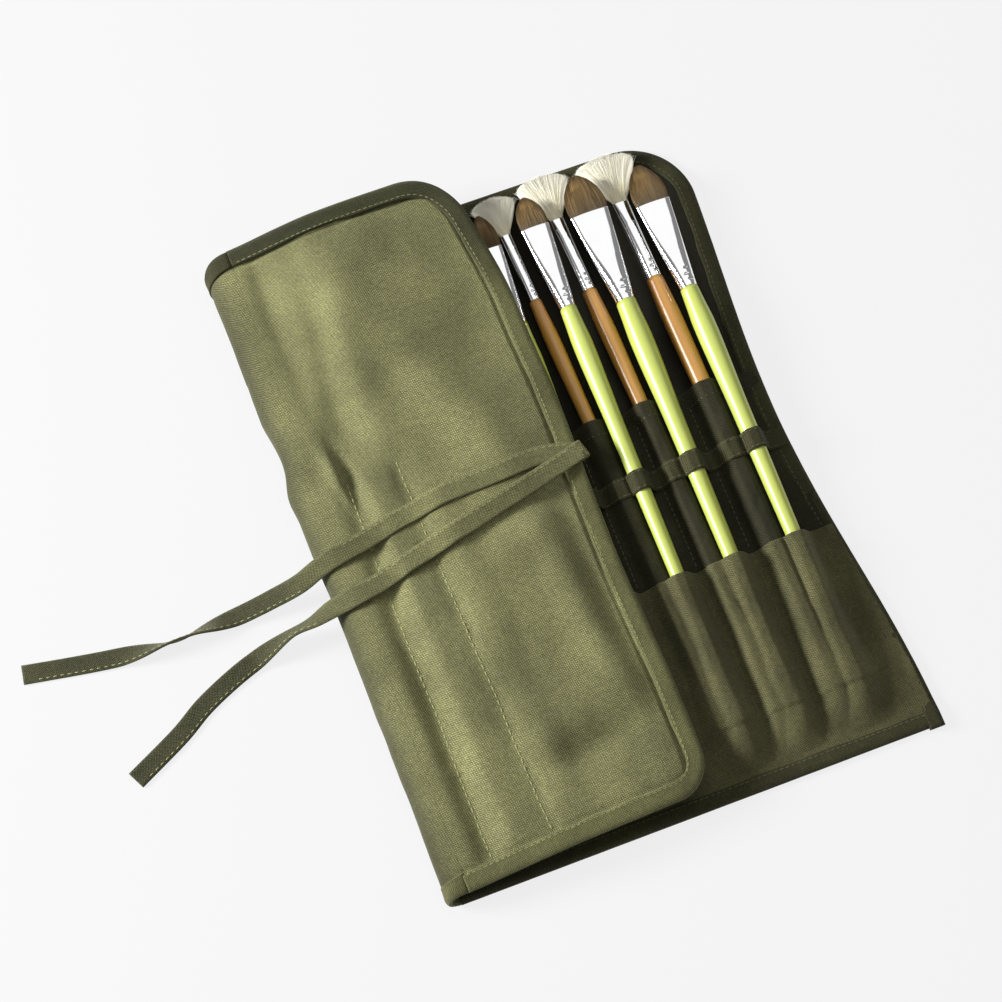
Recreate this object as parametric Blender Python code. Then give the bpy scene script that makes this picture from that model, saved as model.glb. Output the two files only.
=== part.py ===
"""Brush roll case: a cloth wrap with two rows of pockets, folded over once, holding seven brushes.

Units are metres, +Z is up, +X runs across the width and +Y along the brushes towards their heads.
The case lies on its outer cloth. The lengths below are in millimetres in "case" coordinates,
whose origin is the corner of the base at the fold, and place() moves them to the part's own frame.
"""
import math

import bmesh
import bpy
from mathutils import Matrix, Vector

MM = 0.001
GAP = 0.3                     # clearance between pieces that touch

# Driving dimensions of the cloth body
HEIGHT = 380.0                # along the brushes
BASE_WIDTH = 282.0            # at the bottom edge
BASE_WAIST = 16.0             # how far the right edge bows inward at mid height
CORNER = 36.0                 # radius of the base's rounded corner
FLAP_CORNER = 26.0
FLAP_WIDTH = 147.0
OUTER = 1.2                   # thickness of the outer cloth
LINING = 0.6
PANEL = 0.6                   # thickness of a pocket panel
TAPE = 0.5                    # thickness of the binding tape
TAPE_WIDTH = 9.0
STACK = OUTER + GAP + LINING  # outer cloth and lining together
FLAP_Z = 20.0                 # height of the folded flap's inner face
ORIGIN = Vector(((BASE_WIDTH - STACK) / 2, HEIGHT / 2, 0.0))

# Pockets
REAR_MOUTH = 227.0
FRONT_MOUTH = 126.0
STRAP_Y = (178.0, 190.0)
SEAM = 11.0                   # the panels start this far above the bottom edge
DIVIDERS = (21.0, 54.0, 87.0, 120.0, 152.5, 187.0, 220.0, 264.0)
EMPTY_BULGE = 7.0             # an empty rear pocket stands this far off the lining
FRONT_SLACK = 14.0            # and an empty front pocket this far
FLAP_SAG = 5.2                # an empty pocket of the folded flap hangs down this far
ARCH_SPREAD = 7.0             # a panel meets the lining this far outside a handle
FLAP_DIVIDERS = (2.0, 18.0, 52.0, 132.0)

# Brushes: plan place of the axis at mid case, lean to the side per mm, height of the axis at the
# pocket mouth, rise per mm, and then the head's sizes
MID_Y = 227.0
TAIL_Y = 38.0
BRUSHES = {
    "front_1": dict(x=145.0, lean=0.012, z=11.4, rise=0.021, ferrule=(295, 344), tip=365, width=14.0,
                    thick=5.0, belly=5.4, neck=4.4, grip=4.3, fan=False),
    "front_2": dict(x=174.5, lean=0.004, z=14.6, rise=0.0110, ferrule=(294, 347), tip=366, width=17.0,
                    thick=5.6, belly=5.9, neck=4.8, grip=4.8, fan=False),
    "front_3": dict(x=206.8, lean=0.004, z=15.0, rise=0.020, ferrule=(286, 344), tip=368, width=23.0,
                    thick=6.0, belly=6.8, neck=5.8, grip=5.4, fan=False),
    "front_4": dict(x=243.8, lean=0.0, z=15.8, rise=0.022, ferrule=(281, 337), tip=361, width=20.5,
                    thick=5.8, belly=6.5, neck=5.2, grip=5.3, fan=False),
    "back_1": dict(x=162.5, lean=-0.030, z=7.8, rise=0.0, ferrule=(307, 351), tip=374, width=29.0,
                   thick=3.6, belly=4.5, neck=3.5, grip=3.9, fan=True),
    "back_2": dict(x=193.6, lean=-0.028, z=8.4, rise=0.0, ferrule=(302, 350), tip=377, width=35.0,
                   thick=3.2, belly=5.2, neck=4.3, grip=4.4, fan=True),
    "back_3": dict(x=230.6, lean=-0.018, z=9.1, rise=0.0, ferrule=(296, 347), tip=376, width=40.0,
                   thick=3.4, belly=5.9, neck=5.0, grip=5.3, fan=True),
}
TAIL_RADIUS = 2.6
BELLY_AT = 24.0               # the handle is fullest this far below the ferrule
GRIP_AT = 84.0                # and reaches its grip's radius this far below
SIDES = 12

# Tie: one strap folded in the middle, giving two tails that run from the flap's edge to the floor
TIE_WIDTH = 11.0
TIE_THICK = 1.6
TIE_ROOT = (FLAP_WIDTH - 3.0, 208.0)
UPPER_TAIL = ((101, 211, 25.4), (72, 212, 24.6), (41, 207, 23.6), (18, 202, 23.5), (0, 199, 23.6),
              (-11, 197, 20.6), (-24, 194, 14.5), (-42, 193, 7.5), (-60, 192, 2.6), (-80, 191, 1.4),
              (-100, 190, 1.2), (-135, 194, 1.2), (-181, 202, 1.2))
LOWER_TAIL = ((121, 203, 23.6), (82, 193, 23.5), (43, 183, 23.5), (18, 177, 23.5), (0, 174, 23.6),
              (-11, 173, 20.6), (-23, 171, 14.5), (-38, 170, 7.5), (-56, 166, 2.6), (-74, 160, 1.4),
              (-94, 151, 1.2), (-112, 140, 1.2), (-142, 125, 1.2))

COLOURS = {
    "canvas_outer": ((0.13, 0.14, 0.05), 0.85, 0.0),
    "canvas_inner": ((0.05, 0.05, 0.02), 0.9, 0.0),
    "canvas_pocket": ((0.08, 0.08, 0.03), 0.9, 0.0),
    "binding": ((0.10, 0.10, 0.04), 0.85, 0.0),
    "lime_lacquer": ((0.60, 0.73, 0.16), 0.2, 0.0),
    "amber_lacquer": ((0.60, 0.26, 0.05), 0.2, 0.0),
    "ferrule": ((0.85, 0.86, 0.88), 0.18, 1.0),
    "brown_hair": ((0.16, 0.10, 0.05), 0.6, 0.0),
    "white_bristle": ((0.85, 0.80, 0.62), 0.6, 0.0),
}


# ---------------------------------------------------------------- helpers

def smooth(t):
    """Ease from 0 to 1 as t runs from 0 to 1."""
    t = min(max(t, 0.0), 1.0)
    return t * t * (3 - 2 * t)


def make_material(name):
    colour, roughness, metallic = COLOURS[name]
    material = bpy.data.materials.new(name)
    material.use_nodes = True
    shader = material.node_tree.nodes["Principled BSDF"]
    shader.inputs["Base Color"].default_value = (*colour, 1.0)
    shader.inputs["Roughness"].default_value = roughness
    shader.inputs["Metallic"].default_value = metallic
    material.diffuse_color = (*colour, 1.0)
    return material


def make_object(name, verts, faces, material, parent):
    """One closed solid from points in case millimetres, with its origin on its parent's axis."""
    anchor = parent.location
    mesh = bpy.data.meshes.new(name)
    mesh.from_pydata([(Vector(v) - ORIGIN) * MM - anchor for v in verts], [], faces)
    shell = bmesh.new()
    shell.from_mesh(mesh)
    bmesh.ops.triangulate(shell, faces=[f for f in shell.faces if len(f.verts) > 4])
    bmesh.ops.recalc_face_normals(shell, faces=shell.faces)
    shell.to_mesh(mesh)
    shell.free()
    mesh.shade_smooth()
    mesh.set_sharp_from_angle(angle=math.radians(40))
    mesh.materials.append(bpy.data.materials[material])
    item = bpy.data.objects.new(name, mesh)
    bpy.context.collection.objects.link(item)
    item.parent = parent
    return item


def make_empty(name, point):
    """The empty that carries a moving body, on the body's joint axis."""
    empty = bpy.data.objects.new(name, None)
    empty.location = (Vector(point) - ORIGIN) * MM
    bpy.context.collection.objects.link(empty)
    return empty


def loft(rings):
    """Verts and faces of a closed solid through rings of equal length, with flat ends."""
    count = len(rings[0])
    verts = [point for ring in rings for point in ring]
    faces = [tuple(range(count)), tuple(range(len(verts) - count, len(verts)))]
    for r in range(len(rings) - 1):
        for i in range(count):
            j = (i + 1) % count
            faces.append((r * count + i, r * count + j, (r + 1) * count + j, (r + 1) * count + i))
    return verts, faces


def sheet(xs, ys, x_of, low_of):
    """A closed sheet, PANEL thick, over a grid: x_of(x, y) trims it and low_of(x, y) is its underside."""
    low = [[(x_of(x, y), y, low_of(x_of(x, y), y)) for x in xs] for y in ys]
    high = [[(x, y, z + PANEL) for x, y, z in row] for row in low]
    verts = [p for row in low for p in row] + [p for row in high for p in row]
    nx, ny = len(xs), len(ys)
    top = nx * ny
    faces = []
    for j in range(ny - 1):
        for i in range(nx - 1):
            a, b, c, d = j * nx + i, j * nx + i + 1, (j + 1) * nx + i + 1, (j + 1) * nx + i
            faces += [(a, b, c), (a, c, d), (top + a, top + b, top + c), (top + a, top + c, top + d)]
    rim = [i for i in range(nx)] + [j * nx + nx - 1 for j in range(1, ny)]
    rim += [(ny - 1) * nx + i for i in range(nx - 2, -1, -1)] + [j * nx for j in range(ny - 2, 0, -1)]
    for k, a in enumerate(rim):
        b = rim[(k + 1) % len(rim)]
        faces.append((a, b, top + b, top + a))
    return verts, faces


# ---------------------------------------------------------------- outlines of the cloth

def right_edge(y):
    """X of the base's right edge, which bows inward between the corners."""
    return BASE_WIDTH - 8.0 * smooth(y / HEIGHT) - BASE_WAIST * math.sin(math.pi * y / HEIGHT) ** 2 * 0.8


def arc(cx, cy, radius, start, end, count=7):
    """Points and outward directions on a rounded corner."""
    out = []
    for k in range(count + 1):
        a = math.radians(start + (end - start) * k / count)
        out.append((cx + radius * math.cos(a), cy + radius * math.sin(a), math.cos(a), math.sin(a)))
    return out


def base_edge():
    """The bound edge of the base, from the fold along the bottom, up the side and back along the top."""
    bottom = [(GAP, 0, 0, -1), (BASE_WIDTH / 2, 0, 0, -1), (BASE_WIDTH, 0, 1, -1)]
    side = [(right_edge(y), y, 1, 0) for y in (TAPE_WIDTH + 3, *range(40, 341, 50))]
    corner = arc(right_edge(HEIGHT - CORNER) - CORNER, HEIGHT - CORNER, CORNER, 0, 90)
    top = [(BASE_WIDTH / 2, HEIGHT, 0, 1), (GAP, HEIGHT, 0, 1)]
    return bottom + side + corner + top


def flap_edge():
    """The bound edge of the flap, with both free corners rounded."""
    radius = FLAP_CORNER * 0.7
    lower = arc(FLAP_WIDTH - radius, radius, radius, -90, 0)
    upper = arc(FLAP_WIDTH - FLAP_CORNER, HEIGHT - FLAP_CORNER, FLAP_CORNER, 0, 90)
    bottom = [(GAP, 0, 0, -1), (FLAP_WIDTH / 2, 0, 0, -1)]
    return bottom + lower + [(FLAP_WIDTH, HEIGHT / 2, 1, 0)] + upper + [(GAP, HEIGHT, 0, 1)]


def spine_edge():
    """The strip between base and flap, laid flat: x is the distance from the base's hinge."""
    width = FLAP_Z - STACK
    return [(GAP, 0, 0, -1), (width - GAP, 0, 0, -1), (width - GAP, HEIGHT, 0, 1), (GAP, HEIGHT, 0, 1)]


def inset(edge, depth, level):
    return [(x - nx * depth, y - ny * depth, level) for x, y, nx, ny in edge]


def as_laid(point):
    return point


def as_spine(point):
    """Stand the flat strip up at the fold, outer face to the left."""
    return (point[2] - STACK, point[1], STACK + point[0])


def as_flap(point):
    """Turn the flat flap over, outer face up."""
    return (point[0], point[1], FLAP_Z + STACK - point[2])


def cloth_pair(prefix, edge, turn, parent):
    """The outer cloth, thinned along its edge for the tape, and the lining on its inner face."""
    leg = TAPE + GAP
    outer = [(TAPE_WIDTH + GAP, 0), (TAPE_WIDTH + GAP, leg), (TAPE + GAP, leg), (TAPE + GAP, OUTER)]
    lining = [(TAPE + GAP, OUTER + GAP), (TAPE + GAP, STACK)]
    for piece, steps, material in (("outer_canvas", outer, "canvas_outer"), ("lining", lining, "canvas_inner")):
        rings = [[turn(p) for p in inset(edge, depth, level)] for depth, level in steps]
        make_object(prefix + "_" + piece, *loft(rings), material, parent)


def bind(name, edge, turn, parent, rise=0.0, lift_of=None):
    """Binding tape folded round an edge: a U-shaped section swept along it.

    lift_of(index) raises the inner leg where pocket panels lie under it.
    """
    rings = []
    for k, (x, y, nx, ny) in enumerate(edge):
        top = STACK + GAP + rise + (lift_of(k) if lift_of else 0.0)
        section = ((TAPE_WIDTH, 0), (0, 0), (0, top + TAPE), (TAPE_WIDTH, top + TAPE),
                   (TAPE_WIDTH, top), (TAPE, top), (TAPE, TAPE), (TAPE_WIDTH, TAPE))
        rings.append([turn((x - nx * d, y - ny * d, z)) for d, z in section])
    make_object(name, *loft(rings), "binding", parent)


# ---------------------------------------------------------------- pockets

def axis_x(brush, y):
    return brush["x"] + brush["lean"] * (y - MID_Y)


def axis_z(brush, y):
    return brush["z"] + brush["rise"] * (y - MID_Y)


def handle_radius(brush, y):
    """Radius of the handle: thin at the tail, then the grip, fullest just below the ferrule."""
    below = brush["ferrule"][0] - y
    if below < BELLY_AT:
        return brush["neck"] + (brush["belly"] - brush["neck"]) * smooth(below / BELLY_AT)
    if below < GRIP_AT:
        ease = smooth((below - BELLY_AT) / (GRIP_AT - BELLY_AT))
        return brush["belly"] + (brush["grip"] - brush["belly"]) * ease
    span = (y - TAIL_Y) / (brush["ferrule"][0] - GRIP_AT - TAIL_Y)
    return TAIL_RADIUS + (brush["grip"] - TAIL_RADIUS) * max(span, 0.0) ** 0.6


def arch(offset, near, far):
    """A cloth arch over a handle: flat-topped to near, then easing down to nothing at far."""
    t = min(max((abs(offset) - near) / (far - near), 0.0), 1.0)
    return 0.5 * (1 + math.cos(math.pi * t))


def tuck(y, length):
    """How far a panel stands off the lining at y: nothing at the bottom seam, full above length."""
    return smooth((y - SEAM - 2) / length)


def over_handle(brush, x, y, floor):
    """Height that a panel needs above floor to clear a handle at (x, y)."""
    offset = x - axis_x(brush, y)
    radius = handle_radius(brush, y)
    peak = axis_z(brush, y) + radius + GAP + 0.25 - floor
    return peak * arch(offset, radius * 0.6, radius + ARCH_SPREAD)


def empty_bulge(x, height, dividers=DIVIDERS[:4]):
    """Height of the cloth over the empty pockets, which the dividers' stitching holds down."""
    for left, right in zip(dividers, dividers[1:]):
        if left < x < right:
            return height * math.sin(math.pi * (x - left) / (right - left)) ** 2
    return 0.0


def rear_low(x, y):
    """Underside of the rear pocket panel."""
    floor = STACK + GAP
    bulge = empty_bulge(x, EMPTY_BULGE)
    for name, brush in BRUSHES.items():
        if name.startswith("back"):
            bulge = max(bulge, over_handle(brush, x, y, floor))
    return floor + bulge * tuck(y, 22.0)


def above_rear(x, y, slack):
    """Underside of a piece that lies on the rear panel and bridges the front handles."""
    under = rear_low(x, y) + PANEL + GAP
    floor = STACK + PANEL + 2 * GAP
    lift = empty_bulge(x, slack)
    for name, brush in BRUSHES.items():
        if name.startswith("front"):
            lift = max(lift, over_handle(brush, x, y, floor))
    return max(under, floor + lift * tuck(y, 20.0))


def front_low(x, y):
    return above_rear(x, y, FRONT_SLACK)


def strap_low(x, y):
    return above_rear(x, y, 0.0)


def panel_columns(start=1.5):
    """Grid columns across the width: coarse where the pockets are empty."""
    limit = BASE_WIDTH - TAPE_WIDTH
    coarse = [start + (DIVIDERS[3] - start) * k / 24 for k in range(24)]
    fine = [DIVIDERS[3] + (limit - DIVIDERS[3]) * k / 54 for k in range(55)]
    return coarse + fine


def trimmed(x, y):
    """Pull the panel's columns in so that it stops at the side binding."""
    limit = BASE_WIDTH - TAPE_WIDTH
    edge = right_edge(y) - TAPE_WIDTH - 1.5
    start = DIVIDERS[6]
    return x if x < start else start + (x - start) * (edge - start) / (limit - start)


def build_pockets(base):
    xs = panel_columns()
    lower = [SEAM, 18, 26, 34, 42, 60, 80, 103, FRONT_MOUTH]
    upper = [150, STRAP_Y[0], STRAP_Y[1], 208, REAR_MOUTH]
    make_object("rear_pocket_panel", *sheet(xs, lower + upper, trimmed, rear_low), "canvas_pocket", base)
    make_object("front_pocket_panel", *sheet(xs, lower, trimmed, front_low), "canvas_pocket", base)
    strap = [x for x in xs if x > DIVIDERS[0]]
    make_object("holding_strap", *sheet(strap, STRAP_Y, trimmed, strap_low), "binding", base)


def flap_pocket_low(x, y):
    """Underside of the flap's own pocket panel, which hangs from the flap's lining."""
    sag = empty_bulge(x, FLAP_SAG, FLAP_DIVIDERS)
    return FLAP_Z - GAP - PANEL - sag * smooth((y - FRONT_MOUTH - 9) / 25.0)


# ---------------------------------------------------------------- brushes

def ring_at(brush, y, half_width, half_height):
    """An oval ring square to the brush's axis."""
    out = []
    for k in range(SIDES):
        a = 2 * math.pi * k / SIDES
        out.append((axis_x(brush, y) + half_width * math.cos(a), y,
                    axis_z(brush, y) + half_height * math.sin(a)))
    return out


def build_brush(name, brush):
    """A handle, a ferrule and a head, on an empty at the brush's own axis."""
    start, end = brush["ferrule"]
    half, thin = brush["width"] / 2, brush["thick"] / 2
    neck = brush["neck"]
    body = make_empty("brush_" + name, (axis_x(brush, MID_Y), MID_Y, axis_z(brush, MID_Y)))
    back = brush["fan"]

    stations = [TAIL_Y + (start - GRIP_AT - TAIL_Y) * (k / 5) ** 1.5 for k in range(5)]
    stations += [start - GRIP_AT + GRIP_AT * k / 8 for k in range(9)]
    handle = [ring_at(brush, TAIL_Y - 2, 1.4, 1.4)]
    handle += [ring_at(brush, y, handle_radius(brush, y), handle_radius(brush, y)) for y in stations]
    make_object("handle_" + name, *loft(handle), "amber_lacquer" if back else "lime_lacquer", body)

    if back:
        flare = [(0, neck, neck), (0.3, neck, neck), (0.7, neck, neck * 0.8), (1, neck * 0.96, thin)]
    else:
        flare = [(t, neck + (half - neck) * t, neck + (thin * 0.8 - neck) * smooth(t * 1.3))
                 for t in (0, 0.25, 0.5, 0.75, 1)]
    ferrule = [ring_at(brush, start + GAP + (end - start - GAP) * t, w, h) for t, w, h in flare]
    make_object("ferrule_" + name, *loft(ferrule), "ferrule", body)

    root_w, root_h = flare[-1][1] - 0.5, flare[-1][2] - 0.2
    base_y = end + GAP
    length = brush["tip"] - base_y
    if back:
        profile = [(0, root_w, root_h), (0.3, half * 0.55, thin * 0.8), (0.65, half * 0.88, thin * 0.6),
                   (0.88, half, 1.0), (1, half * 0.7, 0.7)]
    else:
        profile = [(0, root_w, root_h), (0.35, half, thin * 0.9), (0.7, half * 0.86, thin * 0.7),
                   (0.9, half * 0.55, thin * 0.4), (1, half * 0.25, 0.5)]
    hair = [ring_at(brush, base_y + length * t, w, h) for t, w, h in profile]
    make_object("hair_" + name, *loft(hair), "white_bristle" if back else "brown_hair", body)


# ---------------------------------------------------------------- ties

def build_tail(name, points, lift, parent):
    """A flat strap swept along a route of points, with one added at the root on the flap's edge."""
    root = (TIE_ROOT[0], TIE_ROOT[1], FLAP_Z + STACK + GAP + TIE_THICK / 2 + lift)
    route = [Vector(root)] + [Vector(p) for p in points]
    rings = []
    for k, point in enumerate(route):
        along = route[min(k + 1, len(route) - 1)] - route[max(k - 1, 0)]
        side = Vector((-along.y, along.x, 0)).normalized() * TIE_WIDTH / 2
        up = along.cross(side).normalized() * TIE_THICK / 2
        if up.z < 0:
            up = -up
        rings.append([tuple(point + side + up), tuple(point - side + up),
                      tuple(point - side - up), tuple(point + side - up)])
    make_object(name, *loft(rings), "canvas_outer", parent)


# ---------------------------------------------------------------- assembly

def build_base(base):
    edge = base_edge()
    cloth_pair("base", edge, as_laid, base)
    lift = 2 * (PANEL + GAP)
    start = [(1.5, *edge[0][1:])]
    bottom = start + [edge[1], (BASE_WIDTH - TAPE_WIDTH - 1.0, 0, 0, -1)]
    bind("base_binding_bottom", bottom, as_laid, base, rise=lift)
    foot = (right_edge(0), 0, 1, 0)
    side = [foot] + edge[3:-1] + [(1.5, HEIGHT, 0, 1)]
    bind("base_binding_side", side, as_laid, base)
    build_pockets(base)


def build_spine(spine):
    edge = spine_edge()
    cloth_pair("spine", edge, as_spine, spine)
    width = FLAP_Z - STACK
    for name, y, out in (("bottom", 0, -1), ("top", HEIGHT, 1)):
        bind("spine_binding_" + name, [(1.8, y, 0, out), (width - 1.8, y, 0, out)], as_spine, spine)


def build_flap(flap):
    edge = flap_edge()
    cloth_pair("flap", edge, as_flap, flap)
    bind("flap_binding", [(1.5, *edge[0][1:])] + edge[1:-1] + [(1.5, HEIGHT, 0, 1)], as_flap, flap)
    xs = [FLAP_DIVIDERS[0] + (FLAP_DIVIDERS[-1] - FLAP_DIVIDERS[0]) * k / 24 for k in range(25)]
    ys = [SEAM, 70, FRONT_MOUTH + 9, 145, 153, 161, 190, REAR_MOUTH]
    make_object("flap_pocket_panel", *sheet(xs, ys, lambda x, y: x, flap_pocket_low), "canvas_pocket", flap)


def main():
    for item in list(bpy.data.objects):
        bpy.data.objects.remove(item)
    for name in COLOURS:
        make_material(name)
    build_base(make_empty("base", (0, 0, 0)))
    build_spine(make_empty("spine", (0, HEIGHT / 2, STACK)))
    build_flap(make_empty("flap", (0, HEIGHT / 2, FLAP_Z)))
    for name, brush in BRUSHES.items():
        build_brush(name, brush)
    ties = make_empty("ties", (FLAP_WIDTH, TIE_ROOT[1], FLAP_Z + STACK))
    build_tail("tie_tail_lower", LOWER_TAIL, 0.0, ties)
    build_tail("tie_tail_upper", UPPER_TAIL, TIE_THICK + GAP + 0.2, ties)
    bpy.context.view_layer.update()


main()
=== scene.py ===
"""Looks of the brush roll case: cloth, binding, stitches, ties, lacquered handles, ferrules and hair.

Lengths in this script are in millimetres from the case's corner at the fold, as in the design:
x runs away from the fold, y along the brushes and z up. to_world() turns them into the frame's metres.
"""
import math

import bpy
import numpy as np
from mathutils import Matrix, Vector


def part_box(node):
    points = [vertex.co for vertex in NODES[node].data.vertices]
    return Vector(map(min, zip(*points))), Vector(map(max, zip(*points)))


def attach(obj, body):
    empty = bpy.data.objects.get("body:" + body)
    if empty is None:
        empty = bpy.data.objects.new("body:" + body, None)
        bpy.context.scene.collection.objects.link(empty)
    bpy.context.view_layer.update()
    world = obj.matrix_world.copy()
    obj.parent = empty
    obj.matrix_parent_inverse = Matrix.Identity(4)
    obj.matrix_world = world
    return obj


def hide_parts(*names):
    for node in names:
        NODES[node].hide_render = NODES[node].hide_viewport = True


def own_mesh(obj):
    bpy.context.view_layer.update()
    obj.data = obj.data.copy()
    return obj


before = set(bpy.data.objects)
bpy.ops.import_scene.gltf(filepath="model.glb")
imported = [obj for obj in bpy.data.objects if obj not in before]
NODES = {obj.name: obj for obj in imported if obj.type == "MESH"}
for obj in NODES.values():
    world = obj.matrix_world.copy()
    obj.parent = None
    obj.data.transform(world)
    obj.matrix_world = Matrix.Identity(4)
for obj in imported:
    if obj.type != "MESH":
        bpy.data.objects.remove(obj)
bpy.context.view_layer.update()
MM = 0.001

# ---------------------------------------------------------------- sizes read from the frame

BINDING_START = 1.5                       # the base's tape starts this far from the fold's line
low_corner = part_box("base_binding_bottom")[0]
ORIGIN = np.array([low_corner[0] - BINDING_START * MM, low_corner[1], 0.0])


def case_box(node):
    low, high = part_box(node)
    return (np.array(low) - ORIGIN) / MM, (np.array(high) - ORIGIN) / MM


HEIGHT = case_box("base_binding_side")[1][1]
BASE_WIDTH = case_box("base_binding_side")[1][0]
FLAP_WIDTH = case_box("flap_binding")[1][0]
FLAP_TOP = case_box("flap_outer_canvas")[1][2]
REAR_MOUTH = case_box("rear_pocket_panel")[1][1]
FRONT_MOUTH = case_box("front_pocket_panel")[1][1]
STRAP_LOW, STRAP_HIGH = case_box("holding_strap")[0][1], case_box("holding_strap")[1][1]

BASE_CORNER = 38.0            # radius of the base's rounded corner
FLAP_CORNER = 32.0            # radius of the flap's upper corner
LOW_CORNER = 20.0             # and of its lower corner
TAPE_WIDTH = 9.0              # the base's folded binding tape
FLAP_TAPE = 10.0              # the flap's
SEAM = 9.0                    # the pocket panels end under the bottom tape here
COVER = 1.0                   # thickness of the outer cloth
LINING = 0.5
PANEL = 0.6                   # thickness of a pocket panel
STRAP = 0.9
YARN = 0.6                    # pitch of the weave
BASE_TOP = 2.1                # height of the lining's surface
FOLD_JOIN = 4.0               # the fold's cover meets the flap's cover this far from the fold's line
SKEW = 0.042                  # the flap is folded a little askew, so it leans left going up
FLAP_LOW = 2.6                # its lower edge lies this far above the base's
FLAP_REACH = 1.0195           # and its cloth, drawn over the heads, overhangs the base at the top
DIVIDERS = (21.0, 54.0, 87.0, 120.0, 152.5, 188.0, 220.0)
SLANTED_DIVIDER = 5           # this one leans more than the others
FLAP_STITCHES = (21.5, 56.5)  # the flap's dividers, at the bottom edge

BRUSH_NAMES = [n[len("handle_"):] for n in NODES if n.startswith("handle_")]
rng = np.random.default_rng(7)


# ---------------------------------------------------------------- small maths

def smooth(t):
    t = np.clip(t, 0.0, 1.0)
    return t * t * (3 - 2 * t)


def hill(d, width):
    """A smooth bump of height 1 at d = 0 that has gone at width."""
    return smooth(1 - np.abs(d) / width)


def ripple(x, y, size_x, size_y, seed):
    """Smooth noise from -1 to 1 whose features are size_x by size_y across."""
    table = np.random.default_rng(seed).uniform(-1, 1, (64, 64))
    u, v = np.asarray(x) / size_x + 100, np.asarray(y) / size_y + 100
    i, j = np.floor(u).astype(int), np.floor(v).astype(int)
    a, b = smooth(u - i), smooth(v - j)
    i, j = i % 63, j % 63
    near = table[i, j] * (1 - a) + table[i + 1, j] * a
    far = table[i, j + 1] * (1 - a) + table[i + 1, j + 1] * a
    return near * (1 - b) + far * b


def to_world(points):
    return np.asarray(points, float) * MM + ORIGIN


def unit(v):
    return v / np.maximum(np.linalg.norm(v, axis=-1, keepdims=True), 1e-12)


def run_along(path):
    """Length along a path up to each of its points."""
    return np.concatenate([[0], np.cumsum(np.linalg.norm(np.diff(path, axis=0), axis=1))])


def resample(points, count):
    """A smooth curve through points, sampled evenly along its length."""
    p = np.asarray(points, float)
    ext = np.vstack([2 * p[0] - p[1], p, 2 * p[-1] - p[-2]])
    out = []
    for k in range(len(p) - 1):
        t = np.linspace(0, 1, 24, endpoint=False)[:, None]
        a, b, c, d = ext[k], ext[k + 1], ext[k + 2], ext[k + 3]
        out.append(0.5 * (2 * b + (c - a) * t + (2 * a - 5 * b + 4 * c - d) * t ** 2
                          + (3 * b - a - 3 * c + d) * t ** 3))
    fine = np.vstack(out + [p[-1:]])
    length = run_along(fine)
    at = np.linspace(0, length[-1], count)
    return np.stack([np.interp(at, length, fine[:, k]) for k in range(3)], axis=1), length[-1]


# ---------------------------------------------------------------- materials

class Nodes:
    """A short way to write a material's node tree."""

    def __init__(self, name):
        self.material = bpy.data.materials.new(name)
        self.material.use_nodes = True
        self.tree = self.material.node_tree
        self.shader = self.tree.nodes["Principled BSDF"]

    def uv(self):
        return self.add("ShaderNodeTexCoord").outputs["UV"]

    def set(self, **values):
        """Constants on the shader, with _ for each space in a socket's name."""
        for key, value in values.items():
            self.shader.inputs[key.replace("_", " ")].default_value = value

    def add(self, kind, **values):
        node = self.tree.nodes.new(kind)
        for key, value in values.items():
            if key in node.inputs:
                node.inputs[key].default_value = value
            else:
                setattr(node, key, value)
        return node

    def link(self, out, into):
        self.tree.links.new(out, into)

    def math(self, operation, a, b=None):
        node = self.add("ShaderNodeMath", operation=operation)
        for slot, value in enumerate((a, b)):
            if value is None:
                continue
            if isinstance(value, (int, float)):
                node.inputs[slot].default_value = value
            else:
                self.link(value, node.inputs[slot])
        return node.outputs[0]

    def noise(self, vector, scale, detail=3.0, roughness=0.55):
        node = self.add("ShaderNodeTexNoise", Scale=scale, Detail=detail, Roughness=roughness)
        self.link(vector, node.inputs["Vector"])
        return node.outputs["Fac"]

    def ramp(self, value, stops):
        node = self.add("ShaderNodeValToRGB")
        self.link(value, node.inputs["Fac"])
        ramp = node.color_ramp
        ramp.elements[0].position, ramp.elements[0].color = stops[0][0], (*stops[0][1], 1)
        ramp.elements[1].position, ramp.elements[1].color = stops[-1][0], (*stops[-1][1], 1)
        for position, colour in stops[1:-1]:
            ramp.elements.new(position).color = (*colour, 1)
        return node.outputs["Color"]

    def mix(self, factor, a, b, kind="MIX"):
        node = self.add("ShaderNodeMix", data_type="RGBA", blend_type=kind)
        for socket, value in ((node.inputs[0], factor), (node.inputs[6], a), (node.inputs[7], b)):
            if isinstance(value, (int, float)):
                socket.default_value = value
            elif isinstance(value, tuple):
                socket.default_value = (*value, 1)
            else:
                self.link(value, socket)
        return node.outputs[2]

    def bump(self, height, strength, distance):
        node = self.add("ShaderNodeBump", Strength=strength, Distance=distance)
        self.link(height, node.inputs["Height"])
        self.link(node.outputs["Normal"], self.shader.inputs["Normal"])


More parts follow.
